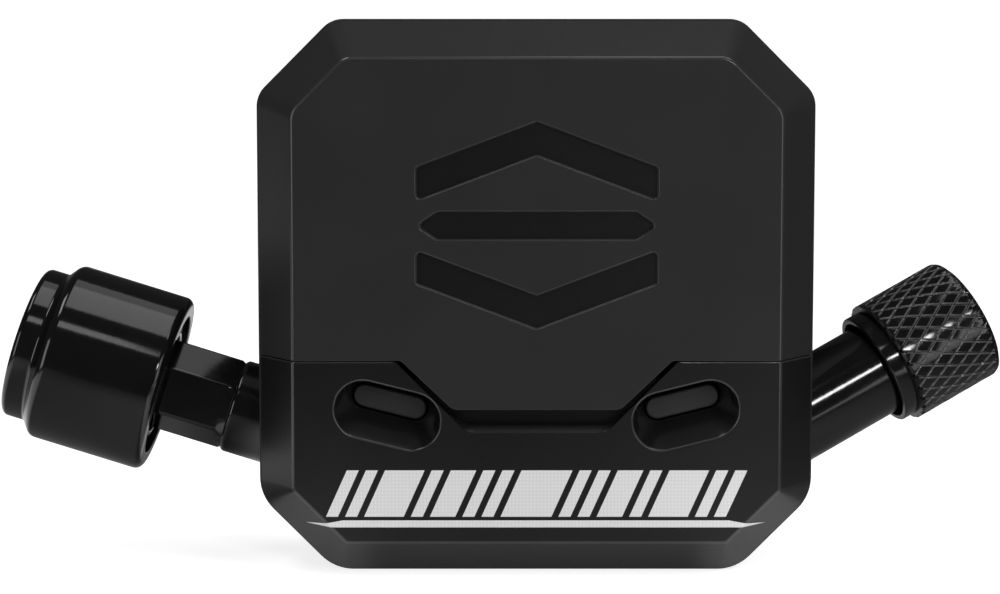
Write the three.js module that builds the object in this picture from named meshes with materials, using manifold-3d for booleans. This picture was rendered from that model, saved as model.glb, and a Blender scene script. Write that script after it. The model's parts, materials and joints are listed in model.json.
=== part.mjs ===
// An electronic tuning sensor for the air spring of a bicycle's shock or fork, in millimetres.
// A square bevelled housing holds a pressure sensor, a circuit board and a coin cell. The coupling on the
// left screws onto the air spring's valve, and the fill valve on the right takes a pump.
// +Z is up, +X is to the right of the face with the two windows, and +Y is towards the back.
// The origin is at the centre of the bottom face, halfway through the housing's thickness.
import * as THREE from "three";
import { ConvexGeometry } from "three/addons/geometries/ConvexGeometry.js";
import { mergeVertices } from "three/addons/utils/BufferGeometryUtils.js";
import Module from "manifold-3d";

const wasm = await Module();
wasm.setup();

// ---------------------------------------------------------------- driving dimensions

// Housing
const WIDTH = 40;
const HEIGHT = 39.8;
const THICKNESS = 17.5;
const CORNER_LEG = 5.4; // of the 45 degree corners
const FRONT_BEVEL_WIDTH = 2.8;
const FRONT_BEVEL_DEPTH = 4.2;
const REAR_BEVEL = 1.8;
const TUB_WALL = 1.6;
const FACE_WALL = 1.3;
const FIT_GAP = 0.2; // between mouldings that meet
const PLAY = 0.05; // between small pieces that rest on each other
const OVERSHOOT = 1; // how far a cutting solid passes the face that it cuts

const FRONT_Y = -THICKNESS / 2;
const REAR_Y = THICKNESS / 2;
const SPLIT_Y = FRONT_Y + FRONT_BEVEL_DEPTH; // where the tub ends and the front mouldings begin
const FACE_BACK_Y = FRONT_Y + FACE_WALL;
const TUB_FLOOR_Y = REAR_Y - TUB_WALL;

// Seam between the battery cover and the bezel, and the thumb notch in it
const SEAM_Z = 15.73;
const SEAM_GAP = 0.15;
const NOTCH_Z = 10.67;
const NOTCH_HALF_TOP = 10.0;
const TONGUE_Z = 12.3;
const TONGUE_HALF_TOP = 9.57;
const TONGUE_HALF_FOOT = 5.9;
const SILL = { half: 12, low: 9.5, high: 14.3, front: FACE_BACK_Y + 0.3, back: -6.1 };

// Recesses with the light windows, mirrored about the middle
const RECESS_TILT = THREE.MathUtils.degToRad(14);
const RECESS_RIM = { x: 10.55, z: 11.88, radius: 2.07, half: 1.76 };
const RECESS_FLOOR = { x: 10.43, z: 12.59, radius: 0.94, half: 1.84 };
const RECESS_DEPTH = 2.2;
const RECESS_FLOOR_Y = FRONT_Y + RECESS_DEPTH;
const RECESS_WALL = 1.0;
const RECESS_BLOCK_FRONT_Y = FRONT_Y + 0.5;
const RECESS_SLOT_LENGTH = 2;
const WINDOW_RADIUS = 0.8;
const WINDOW_THICKNESS = 1.45;

// Cell, tray and board, stacked from the front to the back
const CELL_RADIUS = 10;
const CELL_EDGE = 0.3;
const CELL_Z = 24.8;
const CELL_FRONT_Y = -7.05;
const CELL_BACK_Y = -3.85;
const TRAY_FRONT_Y = -3.5;
const TRAY_BACK_Y = -2.7;
const TRAY_LOW_Z = 14.6;
const CUP_INNER_RADIUS = 10.25;
const CUP_OUTER_RADIUS = 11;
const CUP_FRONT_Y = -5.9;
const BOARD_FRONT_Y = -2.5;
const BOARD_BACK_Y = -1.7;
const BOARD_LOW_Z = 4.2;
const BOARD_LOW_HALF = 11.2;
const PROCESSOR = { x: -4.5, z: 25, width: 6, height: 6, thickness: 0.9 };
const ANTENNA = { x: 7, z: 32, width: 3.2, height: 1.6, thickness: 1.1 };
const MOTION_SENSOR = { x: 5.5, z: 22, width: 3, height: 3, thickness: 0.9 };
const CONTACT_SHEET = 0.2; // thickness of the negative contact
const CONTACT_TAB_Z = 19.1;

// Rails that the cover slides up on
const RAIL = { inner: 14.2, outer: 15.2, lip: 16.4, low: 17.5, high: 33, neck: -5.6, front: -6.15 };
const HOOK = { inner: 15.5, low: 18, high: 32, front: -5.35, back: -4.75 };

// Screws
const REAR_SCREW_X = 9.5;
const REAR_SCREW_UPPER_Z = 34.6;
const REAR_SCREW_LOWER_Z = 10.2;
const REAR_SCREW_UPPER_TIP_Y = 1.4;
const REAR_SCREW_LOWER_TIP_Y = 3.6;
const SCREW_RADIUS = 0.8;
const SCREW_HOLE_RADIUS = 0.95;
const SCREW_HEAD_RADIUS = 1.6;
const SCREW_SOCKET_RADIUS = 0.75;
const SCREW_SOCKET_DEPTH = 0.7;
const SCREW_SEAT_Y = 7.1;
const SCREW_TOP_Y = 8.4;
const TRAY_POST_RADIUS = 1.6;
const BOARD_SCREW_X = 12.6;
const BOARD_SCREW_Z = 18;
const BOARD_SCREW_RADIUS = 0.6;
const BOARD_SCREW_HOLE_RADIUS = 0.75;

// Air manifold, behind the lower half of the board
const MANIFOLD = { half: 12, front: -1.5, back: 6.2, low: 3.2, high: 12.4 };
const CHAMBER = new THREE.Vector3(0, 2.6, 8);
const PASSAGE_RADIUS = 0.75;
const SENSOR_FACE_Y = 0.8;
const SENSOR_POCKET = { radius: 3.2, floor: 1.85 };
const SENSOR_RING = { major: 2.2, minor: 0.45, y: 1.35 };
const SPIGOT_RADIUS = 2.5;
const SPIGOT_HOLE_RADIUS = 2.7;
const O_RING_GROOVE = { radius: 1.8, start: 1.5, width: 1 }; // start is counted from the spigot's end
const O_RING = { major: 2.22, minor: 0.36 };

// Left port: its axis, and distances along it outwards from the reference point
const COUPLING_REFERENCE = new THREE.Vector3(-20.6, 1.6, 10.62);
const COUPLING_RISE = THREE.MathUtils.degToRad(17.36);
const COUPLING = {
  spigotEnd: -10.5,
  flangeEnd: -3.6,
  hexStart: 2.09,
  collarInner: 7.12,
  headStart: 9.2,
  headEnd: 12,
  mouthFloor: 13.55,
  collarOuter: 18.19,
};
const PORT_TUBE_RADIUS = 3.5;
const HEX_ACROSS_FLATS = 6;
const HEX_SINK = 0.2; // how far the hexagon reaches into the round parts beside it
const BARREL_BORE_RADIUS = 1.2;
const BARREL_HEAD = { radius: 4.7, edge: 0.3, seatRadius: 2.4, seatDepth: 1 };
const DEPRESSOR = { radius: 2.25, thickness: 0.8, pinRadius: 0.65, pinLength: 1.9 };
const DEPRESSOR_HOLE = { count: 3, radius: 0.4, offset: 1.45 };
const GASKET = { inner: 1.7, outer: 3.85, thickness: 1.3 };
const COLLAR_RADIUS = 6.65;
const COLLAR_NECK_RADIUS = 5.675;
const COLLAR_MOUTH_RADIUS = 3.95;
const COLLAR_CAVITY_RADIUS = 4.9;
const COLLAR_RING_SEAT_RADIUS = 5.3;
const COLLAR_SHOULDER_START = 2.9; // before the collar's outer end
const COLLAR_NECK_START = 1.4;
const COLLAR_CHAMFER = 0.3;
const RETAINER_BORE_RADIUS = 3.65;
const RETAINER = { fit: 0.12, dish: 0.45, low: 7.37, high: 8.85 };

// Right port: its axis rises and leans back
const FILL_REFERENCE = new THREE.Vector3(20.63, 1, 11.26);
const FILL_RISE = THREE.MathUtils.degToRad(27.7);
const FILL_LEAN_BACK = THREE.MathUtils.degToRad(12);
const FILL = {
  spigotEnd: -9.5,
  tubeStart: -4.8,
  chamberLow: 0.8,
  coreSeat: 3.3,
  skirtStart: 5.5,
  threadStart: 6.4,
  knurlStart: 6.65,
  tip: 12.2,
  capEnd: 13.75,
};
const VALVE_THREAD_RADIUS = 3.85;
const CAP_BORE_RADIUS = 4.05;
const CAP_SKIRT_RADIUS = 4.3;
const CAP_RADIUS = 4.75;
const CAP_CEILING = 12.95;
const CAP_SEAL_THICKNESS = 0.55;
const CHAMBER_RADIUS = 2.1;
const STEM_BORE_RADIUS = 0.9;
const CORE_HOLE_RADIUS = 2.65;
const CORE = { radius: 2.5, bore: 0.85, springBore: 1.35, springSeat: 5.6, end: 11 };
const PIN = {
  radius: 0.55,
  foot: 2.1,
  footRadius: 1.2,
  flange: 9.7,
  flangeRadius: 1.1,
  head: 10.2,
  tip: 11.8,
  tipRadius: 0.6,
};
const CORE_SEAL = { inner: 0.7, outer: 1.75, low: 2.45, high: 3.25 };
const SPRING = { radius: 0.95, wire: 0.16, low: 5.9, high: 9.4, turns: 5 };

// Steps round a full turn
const FINE = 32;
const ROUND = 24;
const SMALL = 12;

// ---------------------------------------------------------------- solids

// A closed geometry as a solid that can be joined and cut.
function solid(geometry) {
  const bare = geometry.clone();
  bare.deleteAttribute("normal");
  bare.deleteAttribute("uv");
  const merged = mergeVertices(bare, 1e-4);
  return new wasm.Manifold(
    new wasm.Mesh({
      numProp: 3,
      vertProperties: new Float32Array(merged.attributes.position.array),
      triVerts: new Uint32Array(merged.index.array),
    }),
  );
}

// A solid as a geometry with flat faces.
function geometryOf(made) {
  const mesh = made.getMesh();
  const indexed = new THREE.BufferGeometry();
  indexed.setAttribute("position", new THREE.BufferAttribute(mesh.vertProperties, 3));
  indexed.setIndex(new THREE.BufferAttribute(mesh.triVerts, 1));
  const flat = indexed.toNonIndexed();
  flat.computeVertexNormals();
  return flat;
}

// A named piece. Its material belongs to it alone.
function piece(name, made, { color, roughness, metalness = 0 }) {
  const material = new THREE.MeshStandardMaterial({ color, roughness, metalness });
  const mesh = new THREE.Mesh(geometryOf(made), material);
  mesh.name = name;
  return mesh;
}

function box(xLow, xHigh, yLow, yHigh, zLow, zHigh) {
  const geometry = new THREE.BoxGeometry(xHigh - xLow, yHigh - yLow, zHigh - zLow);
  geometry.translate((xLow + xHigh) / 2, (yLow + yHigh) / 2, (zLow + zHigh) / 2);
  return solid(geometry);
}

// Everything on one side of the housing's planes.
const REACH = 60;
const aheadOf = (y) => box(-REACH, REACH, -REACH, y, -REACH, REACH);
const behind = (y) => box(-REACH, REACH, y, REACH, -REACH, REACH);
const above = (z) => box(-REACH, REACH, -REACH, REACH, z, REACH);

function shapeOf(corners) {
  return new THREE.Shape(corners.map(([x, z]) => new THREE.Vector2(x, z)));
}

// A prism over an outline in (X, Z), from yFront back to yBack.
function slab(shape, yFront, yBack) {
  const geometry = new THREE.ExtrudeGeometry(shape, {
    depth: yBack - yFront,
    bevelEnabled: false,
  });
  geometry.rotateX(Math.PI / 2);
  geometry.translate(0, yBack, 0);
  return solid(geometry);
}

// A profile of [radius, height] corners turned about +Y, with the material on its left.
function turnedGeometry(profile, steps) {
  const points = profile.map(([radius, height]) => new THREE.Vector2(radius, height));
  return new THREE.LatheGeometry(points, steps);
}

function rodProfile(radius, low, high) {
  return [
    [0, low],
    [radius, low],
    [radius, high],
    [0, high],
  ];
}

function tubeProfile(inner, outer, low, high) {
  return [
    [inner, low],
    [outer, low],
    [outer, high],
    [inner, high],
    [inner, low],
  ];
}

// Turned about a line along Y through (x, z). Heights are Y values.
function turnedAt(x, z, profile, steps = ROUND) {
  const geometry = turnedGeometry(profile, steps);
  geometry.translate(x, 0, z);
  return solid(geometry);
}

// Turned about +Z, for the pieces of a port in the port's own frame.
function turned(profile, steps = ROUND) {
  const geometry = turnedGeometry(profile, steps);
  geometry.rotateX(Math.PI / 2);
  return solid(geometry);
}

function ringSeal(major, minor, height) {
  const geometry = new THREE.TorusGeometry(major, minor, 6, ROUND);
  geometry.translate(0, 0, height);
  return solid(geometry);
}

// A straight drilled hole between two points.
function drill(from, to, radius) {
  const way = to.clone().sub(from);
  const geometry = turnedGeometry(rodProfile(radius, 0, way.length()), SMALL);
  const aim = new THREE.Quaternion();
  aim.setFromUnitVectors(new THREE.Vector3(0, 1, 0), way.clone().normalize());
  geometry.applyQuaternion(aim);
  geometry.translate(from.x, from.y, from.z);
  return solid(geometry);
}

// ---------------------------------------------------------------- port frames

// A frame whose +Z is the port's outward axis and whose X lies in the plane of the rise.
function portFrame(reference, outward) {
  const side = new THREE.Vector3(0, 1, 0).cross(outward).normalize();
  const back = outward.clone().cross(side);
  return new THREE.Matrix4().makeBasis(side, back, outward).setPosition(reference);
}

const couplingAxis = new THREE.Vector3(-Math.cos(COUPLING_RISE), 0, Math.sin(COUPLING_RISE));
const fillAxis = new THREE.Vector3(
  Math.cos(FILL_RISE) * Math.cos(FILL_LEAN_BACK),
  Math.cos(FILL_RISE) * Math.sin(FILL_LEAN_BACK),
  Math.sin(FILL_RISE),
);
const couplingFrame = portFrame(COUPLING_REFERENCE, couplingAxis);
const fillFrame = portFrame(FILL_REFERENCE, fillAxis);

// A solid turned about a port's axis, given in the part's frame.
function turnedOnPort(frame, profile, steps = ROUND) {
  const geometry = turnedGeometry(profile, steps);
  geometry.rotateX(Math.PI / 2);
  geometry.applyMatrix4(frame);
  return solid(geometry);
}

const onAxis = (frame, distance) => new THREE.Vector3(0, 0, distance).applyMatrix4(frame);

// ---------------------------------------------------------------- housing outline

// The octagonal outline in (X, Z), moved inwards by inset.
function outline(inset) {
  const half = WIDTH / 2 - inset;
  const leg = CORNER_LEG - inset * (2 - Math.SQRT2);
  const right = [
    [half - leg, inset],
    [half, inset + leg],
    [half, HEIGHT - inset - leg],
    [half - leg, HEIGHT - inset],
  ];
  const left = right.map(([x, z]) => [-x, z]).reverse();
  return shapeOf([...right, ...left]);
}

// The outline as a long block whose two ends are bevelled.
// Its full section starts at yBack and runs forwards.
function bevelledBlock(inset, bevelWidth, bevelDepth, yBack) {
  const geometry = new THREE.ExtrudeGeometry(outline(inset), {
    depth: REACH,
    bevelEnabled: true,
    bevelThickness: bevelDepth,
    bevelSize: bevelWidth,
    bevelOffset: -bevelWidth,
    bevelSegments: 1,
  });
  geometry.rotateX(Math.PI / 2);
  geometry.translate(0, yBack, 0);
  return solid(geometry);
}

// The housing's form between two faces: the outer form, or the hollow inside it.
function housingForm(inset, yFront, yBack, rearBevel) {
  const depth = SPLIT_Y - yFront;
  const width = (FRONT_BEVEL_WIDTH * depth) / FRONT_BEVEL_DEPTH;
  const front = bevelledBlock(inset, width, depth, SPLIT_Y + REACH);
  const rear = bevelledBlock(inset, rearBevel, rearBevel, yBack - rearBevel);
  return front.intersect(rear);
}

const outerForm = housingForm(0, FRONT_Y, REAR_Y, REAR_BEVEL);
const hollow = housingForm(TUB_WALL, FACE_BACK_Y, TUB_FLOOR_Y, REAR_BEVEL);
const shell = outerForm.subtract(hollow);

// The area above the seam, with a tongue or notch that reaches down to footZ in the middle.
function aboveSeam(seamZ, halfTop, halfFoot, footZ) {
  return shapeOf([
    [-REACH, seamZ],
    [-halfTop, seamZ],
    [-halfFoot, footZ],
    [halfFoot, footZ],
    [halfTop, seamZ],
    [REACH, seamZ],
    [REACH, REACH],
    [-REACH, REACH],
  ]);
}

// ---------------------------------------------------------------- materials

const BLACK_PLASTIC = { color: 0x1b1b1c, roughness: 0.55 };
const INNER_PLASTIC = { color: 0x2b2c2e, roughness: 0.6 };
const SMOKED_PLASTIC = { color: 0x4a4b4d, roughness: 0.35 };
const BLACK_ANODISED = { color: 0x0c0c0d, roughness: 0.22, metalness: 0.6 };
const BARE_ALUMINIUM = { color: 0xb9bcc0, roughness: 0.35, metalness: 1 };
const BRASS = { color: 0xb08d4a, roughness: 0.3, metalness: 1 };
const STEEL = { color: 0xa9abad, roughness: 0.25, metalness: 1 };
const BLACK_RUBBER = { color: 0x141414, roughness: 0.85 };
const BOARD_GREEN = { color: 0x1c4a30, roughness: 0.45 };
const CHIP_BLACK = { color: 0x18181a, roughness: 0.5 };
const LED_WHITE = { color: 0xe8e6da, roughness: 0.3 };

// ---------------------------------------------------------------- housing pieces

function rearHousing() {
  const rimStepDepth = 0.85;
  const rimStepInset = 0.8;
  const portHoleRadius = PORT_TUBE_RADIUS + 0.15;
  const portHoleHalf = 7;
  const bossRadius = 2.4;
  const upperBossFront = 4.2;
  const bossBack = REAR_Y - 0.5;
  const headHole = rodProfile(SCREW_HEAD_RADIUS + FIT_GAP, SCREW_SEAT_Y - PLAY, REAR_Y + OVERSHOOT);
  const shankHole = rodProfile(SCREW_HOLE_RADIUS, 0, REAR_Y);
  let made = shell.intersect(behind(SPLIT_Y + FIT_GAP / 2));
  made = made.subtract(slab(outline(rimStepInset), SPLIT_Y - OVERSHOOT, SPLIT_Y + rimStepDepth));
  for (const frame of [couplingFrame, fillFrame]) {
    const hole = rodProfile(portHoleRadius, -portHoleHalf, portHoleHalf);
    made = made.subtract(turnedOnPort(frame, hole));
  }
  const bosses = [
    [REAR_SCREW_UPPER_Z, upperBossFront],
    [REAR_SCREW_LOWER_Z, MANIFOLD.back + FIT_GAP],
  ];
  for (const x of [-REAR_SCREW_X, REAR_SCREW_X]) {
    for (const [z, bossFront] of bosses) {
      made = made.add(turnedAt(x, z, rodProfile(bossRadius, bossFront, bossBack), SMALL));
      made = made.subtract(turnedAt(x, z, headHole, ROUND));
      made = made.subtract(turnedAt(x, z, shankHole, SMALL));
    }
  }
  return piece("rear_housing", made, BLACK_PLASTIC);
}

function rimGasket() {
  const outerInset = 0.95;
  const innerInset = 1.5;
  const front = SPLIT_Y + 0.15;
  const back = SPLIT_Y + 0.75;
  const inside = slab(outline(innerInset), front - OVERSHOOT, back + OVERSHOOT);
  const made = slab(outline(outerInset), front, back).subtract(inside);
  return piece("rim_gasket", made, BLACK_RUBBER);
}

// Corners of a tilted oblong in the plane at y. side is -1 for the left one and 1 for the right one.
function oblong(side, { x, z, half }, radius, y) {
  const tilt = side * RECESS_TILT;
  const steps = 6;
  const corners = [];
  for (const end of [-1, 1]) {
    const centreX = side * x + end * half * Math.cos(tilt);
    const centreZ = z + end * half * Math.sin(tilt);
    for (let step = 0; step <= steps; step += 1) {
      const angle = tilt + end * (Math.PI * (step / steps) - Math.PI / 2) + (end < 0 ? Math.PI : 0);
      corners.push(
        new THREE.Vector3(centreX + radius * Math.cos(angle), y, centreZ + radius * Math.sin(angle)),
      );
    }
  }
  return corners;
}

// A convex solid over several oblongs.
const through = (...oblongs) => solid(new ConvexGeometry(oblongs.flat()));

function frontBezel() {
  const rim = RECESS_RIM;
  const floor = RECESS_FLOOR;
  const notchHalfFoot = NOTCH_HALF_TOP - (SEAM_Z - NOTCH_Z);
  const notch = aboveSeam(SEAM_Z, NOTCH_HALF_TOP, notchHalfFoot, NOTCH_Z);
  let made = shell.intersect(aheadOf(SPLIT_Y - FIT_GAP / 2));
  made = made.add(box(-SILL.half, SILL.half, SILL.front, SILL.back, SILL.low, SILL.high));
  for (const side of [-1, 1]) {
    const blockFront = oblong(side, rim, rim.radius + RECESS_WALL, RECESS_BLOCK_FRONT_Y);
    const blockBack = oblong(side, floor, floor.radius + RECESS_WALL, RECESS_FLOOR_Y + RECESS_WALL);
    made = made.add(through(blockFront, blockBack));
  }
  made = made.subtract(slab(notch, FRONT_Y - OVERSHOOT, SILL.front));
  made = made.subtract(above(SEAM_Z));
  for (const side of [-1, 1]) {
    const mouth = oblong(side, rim, rim.radius, FRONT_Y - OVERSHOOT);
    const edge = oblong(side, rim, rim.radius, FRONT_Y);
    const bottom = oblong(side, floor, floor.radius, RECESS_FLOOR_Y);
    made = made.subtract(through(mouth, edge, bottom));
    const slotEnd = oblong(side, floor, floor.radius, RECESS_FLOOR_Y + RECESS_SLOT_LENGTH);
    made = made.subtract(through(bottom, slotEnd));
  }
  return piece("front_bezel", made, BLACK_PLASTIC);
}

// The two ends of a span that is mirrored about the middle, lowest first.
function spanOn(side, inner, outer) {
  return side < 0 ? [-outer, -inner] : [inner, outer];
}

function batteryCover() {
  const hookOuter = WIDTH / 2 - 1;
  const area = aboveSeam(SEAM_Z + SEAM_GAP, TONGUE_HALF_TOP, TONGUE_HALF_FOOT, TONGUE_Z);
  let made = shell.intersect(slab(area, FRONT_Y - OVERSHOOT, SPLIT_Y - FIT_GAP / 2));
  for (const side of [-1, 1]) {
    const [xLow, xHigh] = spanOn(side, HOOK.inner, hookOuter);
    made = made.add(box(xLow, xHigh, HOOK.front, HOOK.back, HOOK.low, HOOK.high));
  }
  return piece("battery_cover", made, BLACK_PLASTIC);
}

function lightWindow(name, side) {
  const front = oblong(side, RECESS_FLOOR, WINDOW_RADIUS, RECESS_FLOOR_Y);
  const back = oblong(side, RECESS_FLOOR, WINDOW_RADIUS, RECESS_FLOOR_Y + WINDOW_THICKNESS);
  return piece(name, through(front, back), SMOKED_PLASTIC);
}

// ---------------------------------------------------------------- battery compartment

function batteryTray() {
  const plateInset = TUB_WALL + 0.3;
  const overlap = FIT_GAP;
  const plateBack = TRAY_FRONT_Y + overlap;
  const post = rodProfile(TRAY_POST_RADIUS, -3, 4);
  const postHole = rodProfile(SCREW_HOLE_RADIUS, 0.8, 5);
  const pad = rodProfile(1.3, TRAY_FRONT_Y - 0.9, plateBack);
  const padHole = rodProfile(BOARD_SCREW_HOLE_RADIUS, TRAY_FRONT_Y - 0.4, 0);
  const cup = tubeProfile(CUP_INNER_RADIUS, CUP_OUTER_RADIUS, CUP_FRONT_Y, plateBack);
  const cellTop = CELL_Z + CELL_RADIUS;
  const cupTop = CELL_Z + CUP_OUTER_RADIUS;
  const stripSlot = box(-2, 2, CUP_FRONT_Y - OVERSHOOT, 0, cellTop, cupTop + OVERSHOOT);
  const tabSlot = box(-1.5, 1.5, CUP_FRONT_Y, 0, CONTACT_TAB_Z - 0.2, CONTACT_TAB_Z + 0.6);
  let made = slab(outline(plateInset), TRAY_FRONT_Y, TRAY_BACK_Y).intersect(above(TRAY_LOW_Z));
  made = made.add(turnedAt(0, CELL_Z, cup, FINE));
  made = made.subtract(stripSlot);
  made = made.subtract(tabSlot);
  for (const side of [-1, 1]) {
    const [wallLow, wallHigh] = spanOn(side, RAIL.inner, RAIL.outer);
    const [lipLow, lipHigh] = spanOn(side, RAIL.inner, RAIL.lip);
    made = made.add(box(wallLow, wallHigh, RAIL.front, plateBack, RAIL.low, RAIL.high));
    made = made.add(box(lipLow, lipHigh, RAIL.front, RAIL.neck, RAIL.low, RAIL.high));
    made = made.add(turnedAt(side * REAR_SCREW_X, REAR_SCREW_UPPER_Z, post, SMALL));
    made = made.subtract(turnedAt(side * REAR_SCREW_X, REAR_SCREW_UPPER_Z, postHole, SMALL));
    made = made.add(turnedAt(side * BOARD_SCREW_X, BOARD_SCREW_Z, pad, SMALL));
    made = made.subtract(turnedAt(side * BOARD_SCREW_X, BOARD_SCREW_Z, padHole, SMALL));
  }
  return piece("battery_tray", made, INNER_PLASTIC);
}

function coinCell() {
  const negativeRadius = CELL_RADIUS - 1.3;
  const gasketRadius = CELL_RADIUS - 1.1;
  const profile = [
    [0, CELL_FRONT_Y],
    [CELL_RADIUS - CELL_EDGE, CELL_FRONT_Y],
    [CELL_RADIUS, CELL_FRONT_Y + CELL_EDGE],
    [CELL_RADIUS, CELL_BACK_Y - 0.7],
    [gasketRadius, CELL_BACK_Y - 0.35],
    [negativeRadius, CELL_BACK_Y],
    [0, CELL_BACK_Y],
  ];
  return piece("coin_cell", turnedAt(0, CELL_Z, profile, FINE), STEEL);
}

function batteryContactNegative() {
  const leafHalf = 3;
  const leafTop = 29;
  const tabHalf = 1.2;
  const tabTop = CONTACT_TAB_Z + 0.35;
  const front = CELL_BACK_Y + PLAY;
  const tabBack = BOARD_FRONT_Y - 0.1;
  const leaf = box(-leafHalf, leafHalf, front, front + CONTACT_SHEET, CONTACT_TAB_Z, leafTop);
  const tab = box(-tabHalf, tabHalf, front, tabBack, CONTACT_TAB_Z, tabTop);
  return piece("battery_contact_negative", leaf.add(tab), STEEL);
}

function batteryContactPositive() {
  const half = 1.5;
  const thickness = 0.3;
  const low = CELL_Z + CELL_RADIUS + 0.1;
  const strip = box(-half, half, CUP_FRONT_Y, BOARD_FRONT_Y - 0.1, low, low + thickness);
  return piece("battery_contact_positive", strip, STEEL);
}

// ---------------------------------------------------------------- electronics

function circuitBoard() {
  const inset = TUB_WALL + 0.6;
  const upper = above(TRAY_LOW_Z - 0.4);
  const lower = box(-BOARD_LOW_HALF, BOARD_LOW_HALF, -REACH, REACH, BOARD_LOW_Z, TRAY_LOW_Z);
  const postHole = rodProfile(TRAY_POST_RADIUS + 0.25, -REACH, REACH);
  const screwHole = rodProfile(BOARD_SCREW_HOLE_RADIUS, -REACH, REACH);
  let made = slab(outline(inset), BOARD_FRONT_Y, BOARD_BACK_Y).intersect(upper.add(lower));
  for (const side of [-1, 1]) {
    made = made.subtract(turnedAt(side * REAR_SCREW_X, REAR_SCREW_UPPER_Z, postHole, SMALL));
    made = made.subtract(turnedAt(side * BOARD_SCREW_X, BOARD_SCREW_Z, screwHole, SMALL));
  }
  return piece("circuit_board", made, BOARD_GREEN);
}

// A flat component on the back of the board.
function boardComponent(name, { x, z, width, height, thickness }, material) {
  const front = BOARD_BACK_Y + PLAY;
  const back = front + thickness;
  const made = box(x - width / 2, x + width / 2, front, back, z - height / 2, z + height / 2);
  return piece(name, made, material);
}

function statusLed(name, side) {
  const half = { x: 0.6, z: 0.4 };
  const x = side * RECESS_FLOOR.x;
  const z = RECESS_FLOOR.z;
  const back = BOARD_FRONT_Y - PLAY;
  const made = box(x - half.x, x + half.x, back - 0.6, back, z - half.z, z + half.z);
  return piece(name, made, LED_WHITE);
}

function pressureSensor() {
  const radius = 2.9;
  const faceRadius = 2.5;
  const profile = [
    [0, BOARD_BACK_Y + 0.1],
    [radius, BOARD_BACK_Y + 0.1],
    [radius, SENSOR_FACE_Y - 0.6],
    [faceRadius, SENSOR_FACE_Y],
    [0, SENSOR_FACE_Y],
  ];
  return piece("pressure_sensor", turnedAt(CHAMBER.x, CHAMBER.z, profile, ROUND), STEEL);
}

function sensorRing() {
  const geometry = new THREE.TorusGeometry(SENSOR_RING.major, SENSOR_RING.minor, 6, ROUND);
  geometry.rotateX(Math.PI / 2);
  geometry.translate(CHAMBER.x, SENSOR_RING.y, CHAMBER.z);
  return piece("sensor_o_ring", solid(geometry), BLACK_RUBBER);
}

// ---------------------------------------------------------------- air manifold

function airManifold() {
  const { half, front, back, low, high } = MANIFOLD;
  const bossRadius = 3.9;
  const boardSpace = BOARD_LOW_HALF + 0.5;
  const screwHoleFront = 3.3;
  const inside = housingForm(TUB_WALL + FIT_GAP, FACE_BACK_Y, TUB_FLOOR_Y, REAR_BEVEL);
  const leftBoss = rodProfile(bossRadius, COUPLING.spigotEnd, COUPLING.flangeEnd - FIT_GAP);
  const rightBoss = rodProfile(bossRadius, FILL.spigotEnd, FILL.tubeStart - FIT_GAP);
  const leftHole = rodProfile(SPIGOT_HOLE_RADIUS, COUPLING.spigotEnd - FIT_GAP, 0);
  const rightHole = rodProfile(SPIGOT_HOLE_RADIUS, FILL.spigotEnd - FIT_GAP, 0);
  const pocket = rodProfile(SENSOR_POCKET.radius, front - OVERSHOOT, SENSOR_POCKET.floor);
  const sensorPort = rodProfile(PASSAGE_RADIUS, 0, CHAMBER.y + 0.8);
  const screwHole = rodProfile(SCREW_HOLE_RADIUS, screwHoleFront, REACH);
  let made = turnedOnPort(couplingFrame, leftBoss).add(turnedOnPort(fillFrame, rightBoss));
  made = made.intersect(inside);
  made = made.subtract(box(-boardSpace, boardSpace, -REACH, front, -REACH, REACH));
  made = made.add(box(-half, half, front, back, low, high));
  made = made.subtract(turnedOnPort(couplingFrame, leftHole));
  made = made.subtract(turnedOnPort(fillFrame, rightHole));
  made = made.subtract(drill(onAxis(couplingFrame, COUPLING.spigotEnd), CHAMBER, PASSAGE_RADIUS));
  made = made.subtract(drill(onAxis(fillFrame, FILL.spigotEnd), CHAMBER, PASSAGE_RADIUS));
  made = made.subtract(turnedAt(CHAMBER.x, CHAMBER.z, pocket, ROUND));
  made = made.subtract(turnedAt(CHAMBER.x, CHAMBER.z, sensorPort, SMALL));
  for (const x of [-REAR_SCREW_X, REAR_SCREW_X]) {
    made = made.subtract(turnedAt(x, REAR_SCREW_LOWER_Z, screwHole, SMALL));
  }
  return piece("air_manifold", made, BARE_ALUMINIUM);
}

// ---------------------------------------------------------------- screws

function rearScrew(name, side, z, tipY) {
  const socketFloor = SCREW_TOP_Y - SCREW_SOCKET_DEPTH;
  const profile = [
    [0, tipY],
    [SCREW_RADIUS, tipY],
    [SCREW_RADIUS, SCREW_SEAT_Y],
    [SCREW_HEAD_RADIUS, SCREW_SEAT_Y],
    [SCREW_HEAD_RADIUS, SCREW_TOP_Y],
    [SCREW_SOCKET_RADIUS, SCREW_TOP_Y],
    [SCREW_SOCKET_RADIUS, socketFloor],
    [0, socketFloor],
  ];
  return piece(name, turnedAt(side * REAR_SCREW_X, z, profile, SMALL), STEEL);
}

function boardScrew(name, side) {
  const tip = TRAY_FRONT_Y - 0.3;
  const seat = BOARD_BACK_Y + PLAY;
  const headRadius = 1.2;
  const headHeight = 0.8;
  const profile = [
    [0, tip],
    [BOARD_SCREW_RADIUS, tip],
    [BOARD_SCREW_RADIUS, seat],
    [headRadius, seat],
    [headRadius, seat + headHeight],
    [0, seat + headHeight],
  ];
  return piece(name, turnedAt(side * BOARD_SCREW_X, BOARD_SCREW_Z, profile, SMALL), STEEL);
}

// ---------------------------------------------------------------- coupling, in its port's frame

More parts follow.
